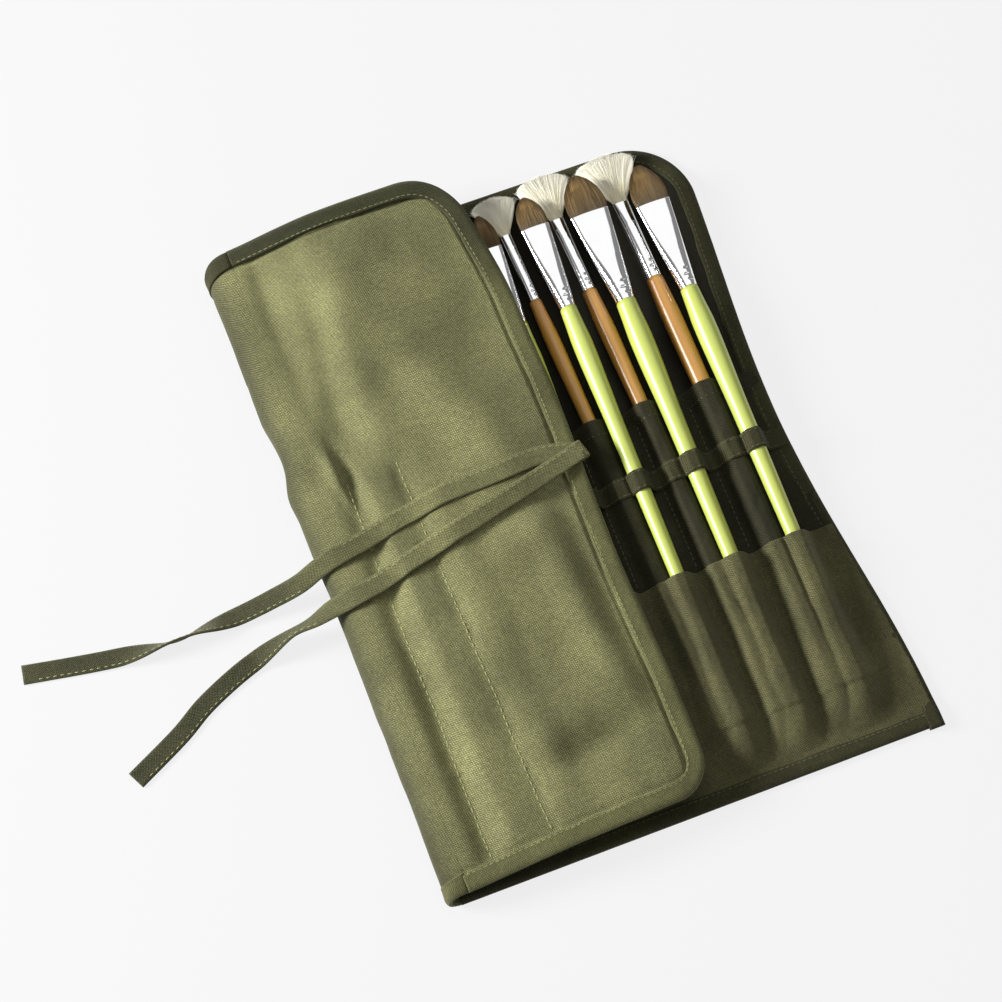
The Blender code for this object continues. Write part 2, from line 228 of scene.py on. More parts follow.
def canvas(name, light, dark, bias=False, sheen=0.25, painted_shade=None):
    """Plain-woven cotton. UVs are the flat cut's metres, so the yarns keep their real pitch.

    The last argument, when given, is painted shade as (where it starts, where it ends, what is left): the
    cloth darkens along U between the two.
    """
    n = Nodes(name)
    uv = n.uv()
    place = n.add("ShaderNodeMapping", Scale=(1 / (YARN * MM),) * 3)
    place.inputs["Rotation"].default_value[2] = math.radians(45 if bias else 0)
    n.link(uv, place.inputs["Vector"])
    yarns = n.add("ShaderNodeSeparateXYZ")
    n.link(place.outputs["Vector"], yarns.inputs[0])
    slip = n.math("MULTIPLY", n.math("SUBTRACT", n.noise(uv, 700.0, 2.0), 0.5), 1.3)
    u, v = n.math("ADD", yarns.outputs[0], slip), n.math("ADD", yarns.outputs[1], slip)
    su = n.math("SINE", n.math("MULTIPLY", u, math.pi))
    sv = n.math("SINE", n.math("MULTIPLY", v, math.pi))
    over = n.math("GREATER_THAN", n.math("MULTIPLY", su, sv), 0.0)
    au, av = n.math("ABSOLUTE", su), n.math("ABSOLUTE", sv)
    up = n.math("MULTIPLY", n.math("POWER", au, 0.6), n.math("ADD", n.math("MULTIPLY", av, 0.55), 0.45))
    across = n.math("MULTIPLY", n.math("POWER", av, 0.6), n.math("ADD", n.math("MULTIPLY", au, 0.55), 0.45))
    under = n.math("MULTIPLY", n.math("SUBTRACT", 1.0, over), n.math("MULTIPLY", across, 0.45))
    height = n.math("ADD", n.math("MULTIPLY", over, up), under)
    fuzz = n.noise(uv, 2600.0, 2.0)
    tone = n.ramp(height, [(0.2, tuple(c * 0.35 for c in dark)), (0.55, dark), (0.95, light)])
    # painted light and shade: large soft blotches of lighter and darker cloth that stand in for uneven
    # lighting
    painted_light_mottle = n.ramp(n.noise(uv, 17.0, 3.0, 0.55), [(0.33, (0.66, 0.66, 0.65)), (0.66, (1.18, 1.18, 1.18))])
    fleck = n.ramp(n.noise(uv, 420.0, 3.0), [(0.3, (0.80, 0.80, 0.80)), (0.7, (1.16, 1.16, 1.12))])
    colour = n.mix(1.0, n.mix(1.0, tone, painted_light_mottle, "MULTIPLY"), fleck, "MULTIPLY")
    # painted shade: the cloth darkened along U
    if painted_shade:
        start, end, left = painted_shade
        run = n.add("ShaderNodeSeparateXYZ")
        n.link(uv, run.inputs[0])
        ease = n.add("ShaderNodeMapRange", interpolation_type="SMOOTHSTEP")
        for slot, value in zip(range(1, 5), (start, end, 1.0, left)):
            ease.inputs[slot].default_value = value
        n.link(run.outputs[0], ease.inputs[0])
        shade = n.add("ShaderNodeCombineColor")
        for slot in range(3):
            n.link(ease.outputs[0], shade.inputs[slot])
        colour = n.mix(1.0, colour, shade.outputs[0], "MULTIPLY")
    n.link(colour, n.shader.inputs["Base Color"])
    n.set(Roughness=0.78, Sheen_Weight=sheen, Sheen_Roughness=0.45, Sheen_Tint=(0.85, 0.85, 0.6, 1),
          Specular_IOR_Level=0.25)
    n.bump(n.math("ADD", height, n.math("MULTIPLY", fuzz, 0.35)), 0.9, 0.0003)
    return n.material


def thread(name, colour):
    """Twisted sewing thread."""
    n = Nodes(name)
    wave = n.add("ShaderNodeTexWave", Scale=700.0, bands_direction="DIAGONAL")
    n.link(n.uv(), wave.inputs["Vector"])
    tone = n.ramp(wave.outputs["Fac"], [(0.1, tuple(c * 0.6 for c in colour)), (0.7, colour)])
    n.link(tone, n.shader.inputs["Base Color"])
    n.set(Roughness=0.6)
    n.bump(wave.outputs["Fac"], 0.4, 0.0001)
    return n.material


def lacquer(name, colour, deep, streak):
    """Glossy lacquer over wood, with faint long streaks."""
    n = Nodes(name)
    uv = n.uv()
    long = n.add("ShaderNodeMapping", Scale=(9.0, 260.0, 1.0))
    n.link(uv, long.inputs["Vector"])
    grain = n.noise(long.outputs["Vector"], 1.0, 4.0, 0.6)
    pool = n.noise(uv, 30.0, 2.0)
    tone = n.ramp(grain, [(0.3, deep), (0.62, colour)])
    body = n.mix(streak, colour, tone)
    n.link(n.mix(n.math("MULTIPLY", pool, 0.25), body, deep), n.shader.inputs["Base Color"])
    n.set(Roughness=0.34, Coat_Weight=0.45, Coat_Roughness=0.28, Subsurface_Weight=0.12,
          Subsurface_Radius=(0.004, 0.003, 0.001), Subsurface_Scale=0.4)
    n.bump(grain, 0.05, 0.0001)
    return n.material


def polished(name):
    """Nickel-plated ferrule metal with fine rubbing marks."""
    n = Nodes(name)
    uv = n.uv()
    rub = n.add("ShaderNodeMapping", Scale=(90.0, 1400.0, 1.0))
    n.link(uv, rub.inputs["Vector"])
    marks = n.noise(rub.outputs["Vector"], 1.0, 3.0)
    smudge = n.noise(uv, 70.0, 3.0)
    tone = n.ramp(smudge, [(0.3, (0.93, 0.93, 0.94)), (0.7, (0.97, 0.97, 0.97))])
    n.link(tone, n.shader.inputs["Base Color"])
    n.set(Metallic=1.0)
    rough = n.math("ADD", n.math("MULTIPLY", marks, 0.06), n.math("MULTIPLY", smudge, 0.12))
    n.link(rough, n.shader.inputs["Roughness"])
    n.bump(marks, 0.06, 0.00005)
    return n.material


def hair(name, root, middle, tip, darkest):
    """Hair whose colour runs from root to tip, with V along each hair and U a number of its own."""
    n = Nodes(name)
    part = n.add("ShaderNodeSeparateXYZ")
    n.link(n.uv(), part.inputs[0])
    tone = n.ramp(part.outputs[1], [(0.0, root), (0.5, middle), (1.0, tip)])
    own = n.add("ShaderNodeTexWhiteNoise", noise_dimensions="1D")
    n.link(part.outputs[0], own.inputs["W"])
    shade = n.ramp(own.outputs["Value"], [(0.0, (darkest,) * 3), (1.0, (1.0, 1.0, 1.0))])
    n.link(n.mix(1.0, tone, shade, "MULTIPLY"), n.shader.inputs["Base Color"])
    n.set(Roughness=0.42, Specular_IOR_Level=0.4)
    return n.material


OLIVE_YARN, OLIVE_GAP = (0.68, 0.67, 0.32), (0.20, 0.198, 0.082)
MATERIALS = {
    "canvas_outer": canvas("canvas_outer", OLIVE_YARN, OLIVE_GAP),
    # the outer canvas with painted shade over the fold, darkest on its side away from the flap
    "canvas_fold": canvas("canvas_fold", OLIVE_YARN, OLIVE_GAP, painted_shade=(0.004, -0.012, 0.30)),
    # painted shade: each tail darkens toward its cut end
    "tie_canvas": canvas("tie_canvas", (0.56, 0.55, 0.26), (0.18, 0.178, 0.072), painted_shade=(0.12, 0.21, 0.27)),
    # much darker than the outer canvas: partly the lining's own colour and partly painted shade
    "canvas_inner": canvas("canvas_inner", (0.034, 0.030, 0.013), (0.014, 0.012, 0.005), sheen=0.02),
    "canvas_shaded": canvas("canvas_shaded", (0.085, 0.078, 0.034), (0.032, 0.029, 0.012), sheen=0.05),
    # the same olive canvas drawn darker, as painted shade
    "canvas_pocket": canvas("canvas_pocket", (0.26, 0.245, 0.108), (0.105, 0.099, 0.040), sheen=0.15),
    "binding": canvas("binding", (0.29, 0.285, 0.115), (0.115, 0.115, 0.042), bias=True),
    # painted shade round the flap's top corner and along its top edge
    "flap_binding": canvas("flap_binding", (0.38, 0.375, 0.155), (0.145, 0.143, 0.054), bias=True,
                           painted_shade=(0.43, 0.49, 0.30)),
    "binding_shaded": canvas("binding_shaded", (0.125, 0.120, 0.048), (0.048, 0.046, 0.017), bias=True,
                             sheen=0.08),
    "thread_olive": thread("thread_olive", (0.36, 0.36, 0.15)),
    "thread_dark": thread("thread_dark", (0.110, 0.104, 0.045)),
    "lime_lacquer": lacquer("lime_lacquer", (0.48, 0.56, 0.13), (0.44, 0.46, 0.03), 0.4),
    "amber_lacquer": lacquer("amber_lacquer", (0.56, 0.29, 0.060), (0.32, 0.12, 0.018), 0.75),
    "ferrule": polished("ferrule"),
    "brown_hair": hair("brown_hair", (0.12, 0.080, 0.030), (0.29, 0.180, 0.060), (0.19, 0.115, 0.036), 0.4),
    "white_bristle": hair("white_bristle", (0.96, 0.88, 0.62), (0.99, 0.95, 0.78), (0.99, 0.97, 0.85), 0.9),
}


# ---------------------------------------------------------------- mesh helpers

def build(name, points, quads, uvs, material, body):
    """An object from points (mm), faces of four corners and a UV for each point (metres)."""
    mesh = bpy.data.meshes.new(name)
    quads = np.asarray(quads, np.int32)
    mesh.vertices.add(len(points))
    mesh.vertices.foreach_set("co", to_world(points).astype(np.float32).ravel())
    mesh.loops.add(quads.size)
    mesh.loops.foreach_set("vertex_index", quads.ravel())
    mesh.polygons.add(len(quads))
    mesh.polygons.foreach_set("loop_start", np.arange(0, quads.size, 4, dtype=np.int32))
    mesh.polygons.foreach_set("use_smooth", np.full(len(quads), True))
    layer = mesh.uv_layers.new(name="UVMap")
    layer.data.foreach_set("uv", np.asarray(uvs, np.float32)[quads.ravel()].ravel())
    mesh.update()
    mesh.validate()
    mesh.materials.append(MATERIALS[material])
    piece = bpy.data.objects.new(name, mesh)
    bpy.context.collection.objects.link(piece)
    if body:
        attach(piece, body)
    return piece


def grid_quads(rows, columns, start=0, flip=False):
    j, i = np.meshgrid(np.arange(rows - 1), np.arange(columns - 1), indexing="ij")
    a = (start + j * columns + i).ravel()
    quads = np.stack([a, a + 1, a + columns + 1, a + columns], axis=1)
    return quads[:, ::-1] if flip else quads


def surface_normals(grid):
    along, across = np.gradient(grid, axis=1), np.gradient(grid, axis=0)
    return unit(np.cross(along, across))


def cloth(name, grid, thickness, uv, material, body):
    """A closed cloth panel: grid is its upper surface, and its back lies thickness below."""
    rows, columns = grid.shape[:2]
    back = grid - surface_normals(grid) * thickness
    count = rows * columns
    points = np.vstack([grid.reshape(-1, 3), back.reshape(-1, 3)])
    rim = np.concatenate([np.arange(columns), np.arange(1, rows) * columns + columns - 1,
                          (rows - 1) * columns + np.arange(columns - 2, -1, -1),
                          np.arange(rows - 2, 0, -1) * columns])
    after = np.roll(rim, -1)
    walls = np.stack([rim, rim + count, after + count, after], axis=1)
    quads = np.vstack([grid_quads(rows, columns), grid_quads(rows, columns, count, True), walls])
    flat = uv.reshape(-1, 2) * MM
    return build(name, points, quads, np.vstack([flat, flat]), material, body)


def tube_quads(count, sides, first=0):
    """Faces of a tube of count rings, each with sides points, and then of its two ends."""
    j, i = np.meshgrid(np.arange(count - 1), np.arange(sides), indexing="ij")
    a, b = (first + j * sides + i).ravel(), (first + j * sides + (i + 1) % sides).ravel()
    quads = [np.stack([a, b, b + sides, a + sides], axis=1)]
    k = np.arange(sides // 2 - 1)
    for ring, flip in ((0, True), (count - 1, False)):
        left, right = first + ring * sides + k, first + ring * sides + sides - 1 - k
        cap = np.stack([left, left + 1, right - 1, right], axis=1)
        quads.append(cap[:, ::-1] if flip else cap)
    return np.vstack(quads)


def swept(name, rings, uv_along, uv_round, material, body):
    """A closed solid through rings of points, shaped (rings, points, 3), with capped ends."""
    count, sides = rings.shape[:2]
    u = np.broadcast_to(np.asarray(uv_along)[:, None], (count, sides))
    v = np.broadcast_to(np.asarray(uv_round)[None, :], (count, sides))
    uvs = np.stack([u, v], axis=-1).reshape(-1, 2) * MM
    return build(name, rings.reshape(-1, 3), tube_quads(count, sides), uvs, material, body)


STITCH_SIDES = 6              # a stitch has this many rings, each with this many points


def stitch_line(path, normals, pitch=3.4, length=2.7, radius=0.3, jitter=0.18):
    """Points and faces of a row of sewn stitches that lie along path."""
    run = run_along(path)
    starts = np.arange(pitch * 0.5, run[-1] - length, pitch)
    angle = np.linspace(0, 2 * np.pi, STITCH_SIDES, endpoint=False)
    points, quads = [], []
    for s in starts:
        s = s + rng.uniform(-jitter, jitter)
        t = np.linspace(0, 1, STITCH_SIDES)
        centre = np.stack([np.interp(s + t * length, run, path[:, k]) for k in range(3)], axis=1)
        up = unit(np.array([np.interp(s + length / 2, run, normals[:, k]) for k in range(3)]))
        along = unit(centre[-1] - centre[0])
        side = unit(np.cross(up, along))
        skew = rng.uniform(-0.12, 0.12)
        arch = np.sin(np.pi * t)
        centre = centre + up * (arch * radius * 1.1 - radius * 0.75)[:, None]
        centre = centre + side * ((t - 0.5) * skew)[:, None]
        width = radius * (0.35 + 0.65 * arch ** 0.5)
        ring = (centre[:, None, :] + side * (np.cos(angle)[None, :, None] * width[:, None, None])
                + up * (np.sin(angle)[None, :, None] * width[:, None, None] * 0.8))
        quads.append(tube_quads(STITCH_SIDES, STITCH_SIDES, len(points) * STITCH_SIDES ** 2))
        points.append(ring.reshape(-1, 3))
    return np.vstack(points), np.vstack(quads)


def stitches(name, lines, material, body, **size):
    """One object for several rows of stitches, each row a path with its normals."""
    points, quads, total = [], [], 0
    for path, normals in lines:
        p, q = stitch_line(path, normals, **size)
        points.append(p)
        quads.append(q + total)
        total += len(p)
    points = np.vstack(points)
    return build(name, points, np.vstack(quads), points[:, :2] * MM, material, body)


# ---------------------------------------------------------------- the brushes' own rings

def rings_of(node):
    """Each ring of a brush's CAD solid, from tail to tip: y, centre x and z, half width and height."""
    points = np.array([v.co for v in NODES[node].data.vertices])
    points = (points - ORIGIN) / MM
    out = []
    for y in np.unique(points[:, 1].round(1)):
        ring = points[np.abs(points[:, 1] - y) < 0.3]
        low, high = ring.min(axis=0), ring.max(axis=0)
        middle, half = (low + high) / 2, (high - low) / 2
        out.append((y, middle[0], middle[2], half[0], half[2]))
    return np.array(out)


HANDLES = {name: rings_of("handle_" + name) for name in BRUSH_NAMES}


def handle_at(name, y):
    """Centre x, centre z and radius of a handle at y."""
    r = HANDLES[name]
    return np.interp(y, r[:, 0], r[:, 1]), np.interp(y, r[:, 0], r[:, 2]), np.interp(y, r[:, 0], r[:, 3])


# ---------------------------------------------------------------- shapes of the cloth

def corner_cut(turn, radius):
    """How far a rounded corner draws an edge in; turn runs from 0 to 1 along the corner."""
    return radius * (1 - np.sqrt(np.maximum(1 - np.clip(turn, 0, 1) ** 2, 0)))


def right_edge(y):
    """X of the base's right edge, with the rounded top corner."""
    y = np.asarray(y, float)
    edge = BASE_WIDTH - 8.0 * smooth(y / HEIGHT) - 12.8 * np.sin(np.pi * y / HEIGHT) ** 2
    return edge - corner_cut((y - (HEIGHT - BASE_CORNER)) / BASE_CORNER, BASE_CORNER)


def flap_right(y):
    """Width of the flap at y, with both corners rounded."""
    y = np.asarray(y, float)
    return (FLAP_WIDTH - corner_cut((LOW_CORNER - y) / LOW_CORNER, LOW_CORNER)
            - corner_cut((y - (HEIGHT - FLAP_CORNER)) / FLAP_CORNER, FLAP_CORNER))


def up_to_corner(start, radius, margin, straight, turned):
    """Stations from start to margin below the top edge, with more of them round the corner."""
    corner = HEIGHT - radius
    turn = np.sin(np.linspace(0, np.pi / 2, turned))[1:]
    return np.concatenate([np.linspace(start, corner, straight), corner + (radius - margin) * turn])


def rows_across(y, across, left, right):
    """Places on the plan in a row for each y, from left to right where across runs from 0 to 1."""
    x = left + across[None, :] * (right - left)[:, None]
    return x, np.broadcast_to(y[:, None], x.shape)


def empty_bulge(x, height):
    """How far the empty pockets stand off the lining."""
    out = np.zeros_like(x)
    for left, right in zip(DIVIDERS[:3], DIVIDERS[1:4]):
        inside = (x > left) & (x < right)
        out = np.where(inside, height * np.sin(np.pi * (x - left) / (right - left)) ** 2, out)
    return out


def arch_over(prefix, x, y, floor, spread):
    """Height above floor of cloth drawn over the handles whose names start with prefix."""
    out = np.zeros_like(x)
    wide = spread + 9.0 * smooth((95.0 - y) / 70.0)
    for name in BRUSH_NAMES:
        if not name.startswith(prefix):
            continue
        cx, cz, r = handle_at(name, y)
        peak = cz + r + 0.55 - floor
        offset = np.abs(x - cx)
        t = np.clip((offset - r * 0.45) / (r * 0.55 + wide), 0, 1)
        out = np.maximum(out, peak * 0.5 * (1 + np.cos(np.pi * t)))
    return out


def divider_x(k, y):
    lean = 2.0 if k == SLANTED_DIVIDER else 0.6
    return DIVIDERS[k] + lean * (0.5 - y / 227.0)


def divider_dip(x, y, top):
    """How far the sewn dividers pull a panel down at (x, y); they stop at top."""
    out = np.zeros_like(x)
    for k in range(len(DIVIDERS)):
        out = np.maximum(out, hill(x - divider_x(k, y), 5.0) * smooth((top - y) / 6.0))
    return out


def base_wave(x, y):
    """Slow waves of the cloth that lies on the table."""
    return 0.5 * ripple(x, y, 45, 70, 3) + 0.25 * ripple(x, y, 18, 26, 4)


def rear_top(x, y):
    """Height of the rear pockets' cloth."""
    floor = BASE_TOP + 0.5
    rise = np.maximum(empty_bulge(x, 6.5), arch_over("back", x, y, floor, 7.0))
    tuck = smooth((y - SEAM - 2) / 26.0)
    mouth = smooth((y - REAR_MOUTH + 30) / 30.0)
    slack = 0.9 * mouth * (1 + ripple(x, y, 17, 60, 11)) * (1 - hill(x - BASE_WIDTH + 16, 10))
    pulls = 0.55 * ripple(x + 0.35 * y, y, 9, 40, 12) + 0.3 * ripple(x - 0.5 * y, y, 6, 22, 13)
    dip = divider_dip(x, y, REAR_MOUTH - 5)
    return floor + 0.55 + (rise + slack) * tuck * (1 - 0.75 * dip) + pulls * tuck * (1 - dip) + 0.3


def front_top(x, y):
    """Height of the front pockets' cloth, which lies on the rear pockets."""
    floor = BASE_TOP + 1.2
    rise = np.maximum(empty_bulge(x, 12.0), arch_over("front", x, y, floor, 9.0))
    tuck = np.sin(np.pi / 2 * np.clip((y - SEAM - 1) / 24.0, 0, 1)) ** 1.2
    pulls = 0.7 * ripple(x + 0.45 * y, y, 11, 34, 21) + 0.35 * ripple(x - 0.4 * y, y, 6, 18, 22)
    pulls = pulls + 1.0 * hill(y - 46, 26) * ripple(x, y, 12, 24, 23)
    mouth = smooth((y - FRONT_MOUTH + 22) / 22.0)
    slack = 1.0 * mouth * (1 + ripple(x, y, 15, 60, 24))
    dip = divider_dip(x, y, FRONT_MOUTH + 40)
    height = floor + 0.6 + (rise + slack) * tuck * (1 - 0.86 * dip) + pulls * tuck * (1 - dip)
    return np.maximum(height, rear_top(x, y) + 0.75)


def strap_top(x, y):
    """Height of the strap, drawn tight over the front handles."""
    floor = BASE_TOP + 1.2
    rise = arch_over("front", x, y, floor, 6.0)
    lift = 0.35 * ripple(x, y, 20, 40, 31)
    return np.maximum(floor + 0.8 + rise + lift, rear_top(x, y) + 1.1)


def fold_at(x, y, place, size, angle, height):
    """A soft fold or hollow of the cloth: an oval hill at place, turned by angle degrees."""
    c, s = math.cos(math.radians(angle)), math.sin(math.radians(angle))
    u = ((x - place[0]) * c + (y - place[1]) * s) / size[0]
    v = (-(x - place[0]) * s + (y - place[1]) * c) / size[1]
    return height * np.exp(-(u * u + v * v))


# soft folds of the flap: place, half sizes, turn in degrees and height
FLAP_FOLDS = (((60, 318), (17, 62), -14, 4.2), ((34, 264), (15, 40), 8, -4.6), ((98, 252), (13, 55), 20, 3.8),
              ((130, 305), (15, 65), 0, -3.6), ((78, 228), (18, 22), 35, -3.2), ((12, 332), (8, 40), 0, -2.4),
              ((28, 296), (9, 42), -10, 2.0), ((116, 120), (10, 62), 4, 3.6), ((132, 110), (7, 60), 4, -3.0),
              ((96, 44), (34, 10), 5, -4.4), ((98, 68), (36, 13), 5, 2.4), ((120, 183), (17, 11), 20, -4.2),
              ((102, 164), (22, 13), 30, 3.0), ((16, 236), (5, 24), 12, 3.4), ((25, 232), (5, 20), 8, -2.6),
              ((70, 150), (12, 50), 4, 1.8), ((84, 368), (50, 10), 2, -2.4), ((70, 110), (14, 40), 0, -1.4))


def edge_distance(x, y):
    """Roughly how far (x, y) is from the flap's free edge."""
    return np.minimum(np.minimum(flap_right(y) - x, y), HEIGHT - y)


def flap_top(x, y):
    """Height of the folded flap's outer face; x is measured from the fold along the cloth."""
    top = FLAP_TOP + 0.3 + 4.2 * np.sin(np.pi * np.clip(x / FLAP_WIDTH, 0, 1)) ** 2
    waves = 1.0 * ripple(x + 0.3 * y, y, 45, 70, 41) + 0.8 * ripple(x - 0.2 * y, y, 20, 36, 42)
    waves = waves + 0.16 * ripple(x, y, 8, 14, 43)
    for fold in FLAP_FOLDS:
        waves = waves + fold_at(x, y, *fold)
    for k, d in enumerate(FLAP_STITCHES):
        sewn = smooth((REAR_MOUTH + 12 - y) / 14.0) * smooth((y - 4) / 12.0)
        waves = waves - (4.4 if k == 0 else 1.3) * hill(x - d + 1.0, 15.0 if k == 0 else 9.0) * sewn
        waves = waves + (1.0 + 0.5 * hill(y - 90, 90)) * hill(x - d - 15, 14.0) * sewn
        waves = waves + 0.4 * hill(x - d, 12.0) * sewn * ripple(x, y, 6, 7, 44 + k)
    edge = 1.2 * smooth((x - FLAP_WIDTH + 26) / 26.0)
    gutter = 1.5 * hill(edge_distance(x, y) - FLAP_TAPE - 0.5, 2.4)
    corner = 4.5 * smooth((70 - y) / 70.0) * smooth((60 - x) / 60.0)
    rise = 4.0 * smooth((y - 260) / 100.0) * smooth((x + 20) / 60.0)
    calm = smooth(edge_distance(x, y) / 14.0)
    return top + waves * smooth((x - 4.0) / 18.0) * (0.25 + 0.75 * calm) - edge - corner - gutter + rise


def place_flap(x, y, z):
    """Lay the flap down: askew in its middle, drawn in at the top corner and past the base's edge."""
    lean = SKEW * y * smooth(x / 90.0) * (1 - smooth((x - 60.0) / 80.0))
    drawn = 10.0 * smooth((y - 290.0) / 90.0) * np.clip(x / FLAP_WIDTH, 0, 1) ** 2
    bow = 1.2 * np.sin(y / 30.0) * smooth((x - 100.0) / 40.0) * smooth((300 - y) / 60.0)
    return np.stack([x - lean - drawn + bow, flap_y(y) + SKEW * x * 1.05, z], axis=-1)


def flap_y(y):
    """Where the flap's cloth at y lies on the plan."""
    return FLAP_LOW + y * FLAP_REACH


def flap_under(x, y):
    """Height of the laid flap under a place on the plan."""
    flat_x, flat_y = np.array(x, float), np.array(y, float)
    for _ in range(12):
        placed = place_flap(flat_x, flat_y, 0 * flat_x)
        flat_x, flat_y = flat_x + x - placed[..., 0], flat_y + y - placed[..., 1]
    return flap_top(flat_x, flat_y)


# ---------------------------------------------------------------- cover, lining and fold

FOLD_REACH = 8.0              # how far the fold stands out at the bottom
FOLD_SPLAY = 4.2              # and how much further at the top


def fold_reach(y):
    """How far the fold stands out to the left of the base's edge."""
    notch = 2.4 * hill(y - 262, 26) - 1.4 * hill(y - 240, 16)
    return FOLD_REACH + FOLD_SPLAY * y / HEIGHT - notch + 0.8 * ripple(y * 0, y, 10, 55, 51)


def bend(turn, y, shrink=0.0):
    """A point on the fold's outer surface: turn runs from 0 at the table to 1 on the flap."""
    angle = (turn - 0.5) * np.pi
    high = flap_top(np.full_like(y, FOLD_JOIN - 0.1), y) - shrink
    low = 0.25 + shrink
    middle, half = (high + low) / 2, (high - low) / 2
    x = FOLD_JOIN - (fold_reach(y) + FOLD_JOIN - shrink) * np.cos(angle) ** 0.8
    crinkle = 0.35 * ripple(turn * 24, y, 7, 12, 52) * np.cos(angle)
    along = y + (flap_y(y) + SKEW * x - y) * smooth(np.asarray(turn) * 1.15 - 0.15)
    return np.stack([x + crinkle, along, middle + half * np.sin(angle)], axis=-1)


def bend_rows(y, turns, shrink=0.0):
    """A grid over the fold, with a row for each y and a column for each turn."""
    return np.stack([bend(np.full_like(y, t), y, shrink) for t in turns], axis=1)


def flatten_fold(piece):
    """Attach a piece of the fold to the spine's body and give it a mesh of its own."""
    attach(piece, "spine")
    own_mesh(piece)


def flatten_flap(piece):
    """Attach a piece of the flap to the flap's body and give it a mesh of its own."""
    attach(piece, "flap")
    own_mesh(piece)


def build_fold_cover():
    y = np.linspace(0.6, HEIGHT - 0.6, 200)
    grid = bend_rows(y, np.append(np.linspace(0.0, 0.97, 30), (0.998, 1.0)))
    u = run_along(grid[100])
    uv = np.stack([np.broadcast_to(u[None, :] - u[-1] + FOLD_JOIN - 0.1, grid.shape[:2]),
                   np.broadcast_to(y[:, None], grid.shape[:2])], -1)
    cover = cloth("fold_cover", grid, COVER, uv, "canvas_fold", None)
    flatten_fold(cover)
    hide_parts("spine_outer_canvas")


def build_spine_lining():
    y = np.linspace(2, HEIGHT - 2, 100)
    grid = bend_rows(y, np.linspace(0.9, 0.1, 20), 1.7)
    uv = np.stack([np.broadcast_to(np.linspace(0, 24, 20)[None, :], grid.shape[:2]),
                   np.broadcast_to(y[:, None], grid.shape[:2])], -1)
    lining = cloth("fold_lining_cloth", grid[:, ::-1], 0.4, uv, "canvas_inner", None)
    flatten_fold(lining)
    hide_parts("spine_lining")


def build_base_cover():
    y = up_to_corner(0.6, BASE_CORNER, 0.6, 120, 24)
    x, yy = rows_across(y, np.linspace(1, 0, 110), 1.0, right_edge(y) - 0.6)
    grid = np.stack([x, yy, np.full_like(x, 0.25)], axis=-1)
    cover = cloth("base_cover", grid, COVER, grid[..., :2], "canvas_outer", "base")
    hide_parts("base_outer_canvas")


def build_lining():
    y = up_to_corner(1.2, BASE_CORNER, 1.4, 150, 22)
    x, yy = rows_across(y, np.linspace(0, 1, 150), 1.8, right_edge(y) - 1.2)
    open_area = smooth((yy - REAR_MOUTH) / 20.0)
    z = BASE_TOP - 0.15 + np.maximum(base_wave(x, yy), -0.4) * open_area * 1.6 + 0.35 * open_area
    grid = np.stack([x, yy, z], axis=-1)
    lining = cloth("base_lining_cloth", grid, LINING, np.stack([x, yy], -1), "canvas_inner", "base")
    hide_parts("base_lining")


def build_flap_cover():
    y = np.concatenate([LOW_CORNER * (1 - np.sin(np.linspace(np.pi / 2, 0, 18)))[:-1] + 0.4,
                        up_to_corner(LOW_CORNER, FLAP_CORNER, 0.5, 240, 24)])
    across = np.insert(np.linspace(0, 1, 170), 1, 0.0006)
    x, yy = rows_across(y, across, FOLD_JOIN - 0.05, flap_right(y) - 0.8)
    grid = place_flap(x, yy, flap_top(x, yy))
    cover = cloth("flap_cover", grid, COVER, np.stack([x, yy], -1), "canvas_outer", None)
    flatten_flap(cover)
    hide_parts("flap_outer_canvas")


def build_flap_lining():
    """The flap's lining, which shows when the flap is open; its left edge is tucked into the fold."""
    y = np.linspace(1.5, HEIGHT - 1.5, 110)
    x, yy = rows_across(y, np.linspace(0, 1, 60), -0.4, flap_right(y) - 1.6)
    tucked = 0.8 * smooth((2.0 - x) / 2.4)
    grid = place_flap(x, yy, flap_top(x, yy) - COVER - 0.1 - tucked)
    lining = cloth("flap_lining_cloth", grid, LINING, np.stack([x, yy], -1), "canvas_inner", None)
    flatten_flap(lining)
    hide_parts("flap_lining")


def build_flap_pocket():
    """The pocket panel inside the flap, whose empty pockets hang a little when the flap is folded over."""
    y = np.linspace(SEAM, REAR_MOUTH, 90)
    x, yy = rows_across(y, np.linspace(0, 1, 90), 4.0, flap_right(y) - 8.0)
    sag = np.zeros_like(x)
    marks = (2.0, *FLAP_STITCHES, FLAP_WIDTH - 9.0)
    for left, right in zip(marks, marks[1:]):
        inside = (x > left) & (x < right)
        sag = np.where(inside, 3.6 * np.sin(np.pi * (x - left) / (right - left)) ** 2, sag)
    sag = sag * smooth((yy - 90) / 120.0) + 0.3 + 0.3 * ripple(x, yy, 14, 30, 61)
    grid = place_flap(x, yy, flap_top(x, yy) - COVER - 0.75 - np.maximum(sag, 0.1))
    panel = cloth("flap_pocket_cloth", grid, PANEL, np.stack([x, yy], -1), "canvas_pocket", None)
    flatten_flap(panel)
    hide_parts("flap_pocket_panel")


# ---------------------------------------------------------------- pockets and strap

def panel_grid(y, columns, left, top):
    """A grid on the surface top(x, y), from left to just inside the base's edge, and its flat cut."""
    x, yy = rows_across(y, np.linspace(0, 1, columns), left, right_edge(y) - 2.0)
    return np.stack([x, yy, top(x, yy)], axis=-1), np.stack([x, yy], -1)


def mouth_roll(y, mouth, depth):
    """The hem of a pocket's mouth is a little thicker than the panel."""
    return depth * smooth((y - mouth + 10.5) / 1.5)


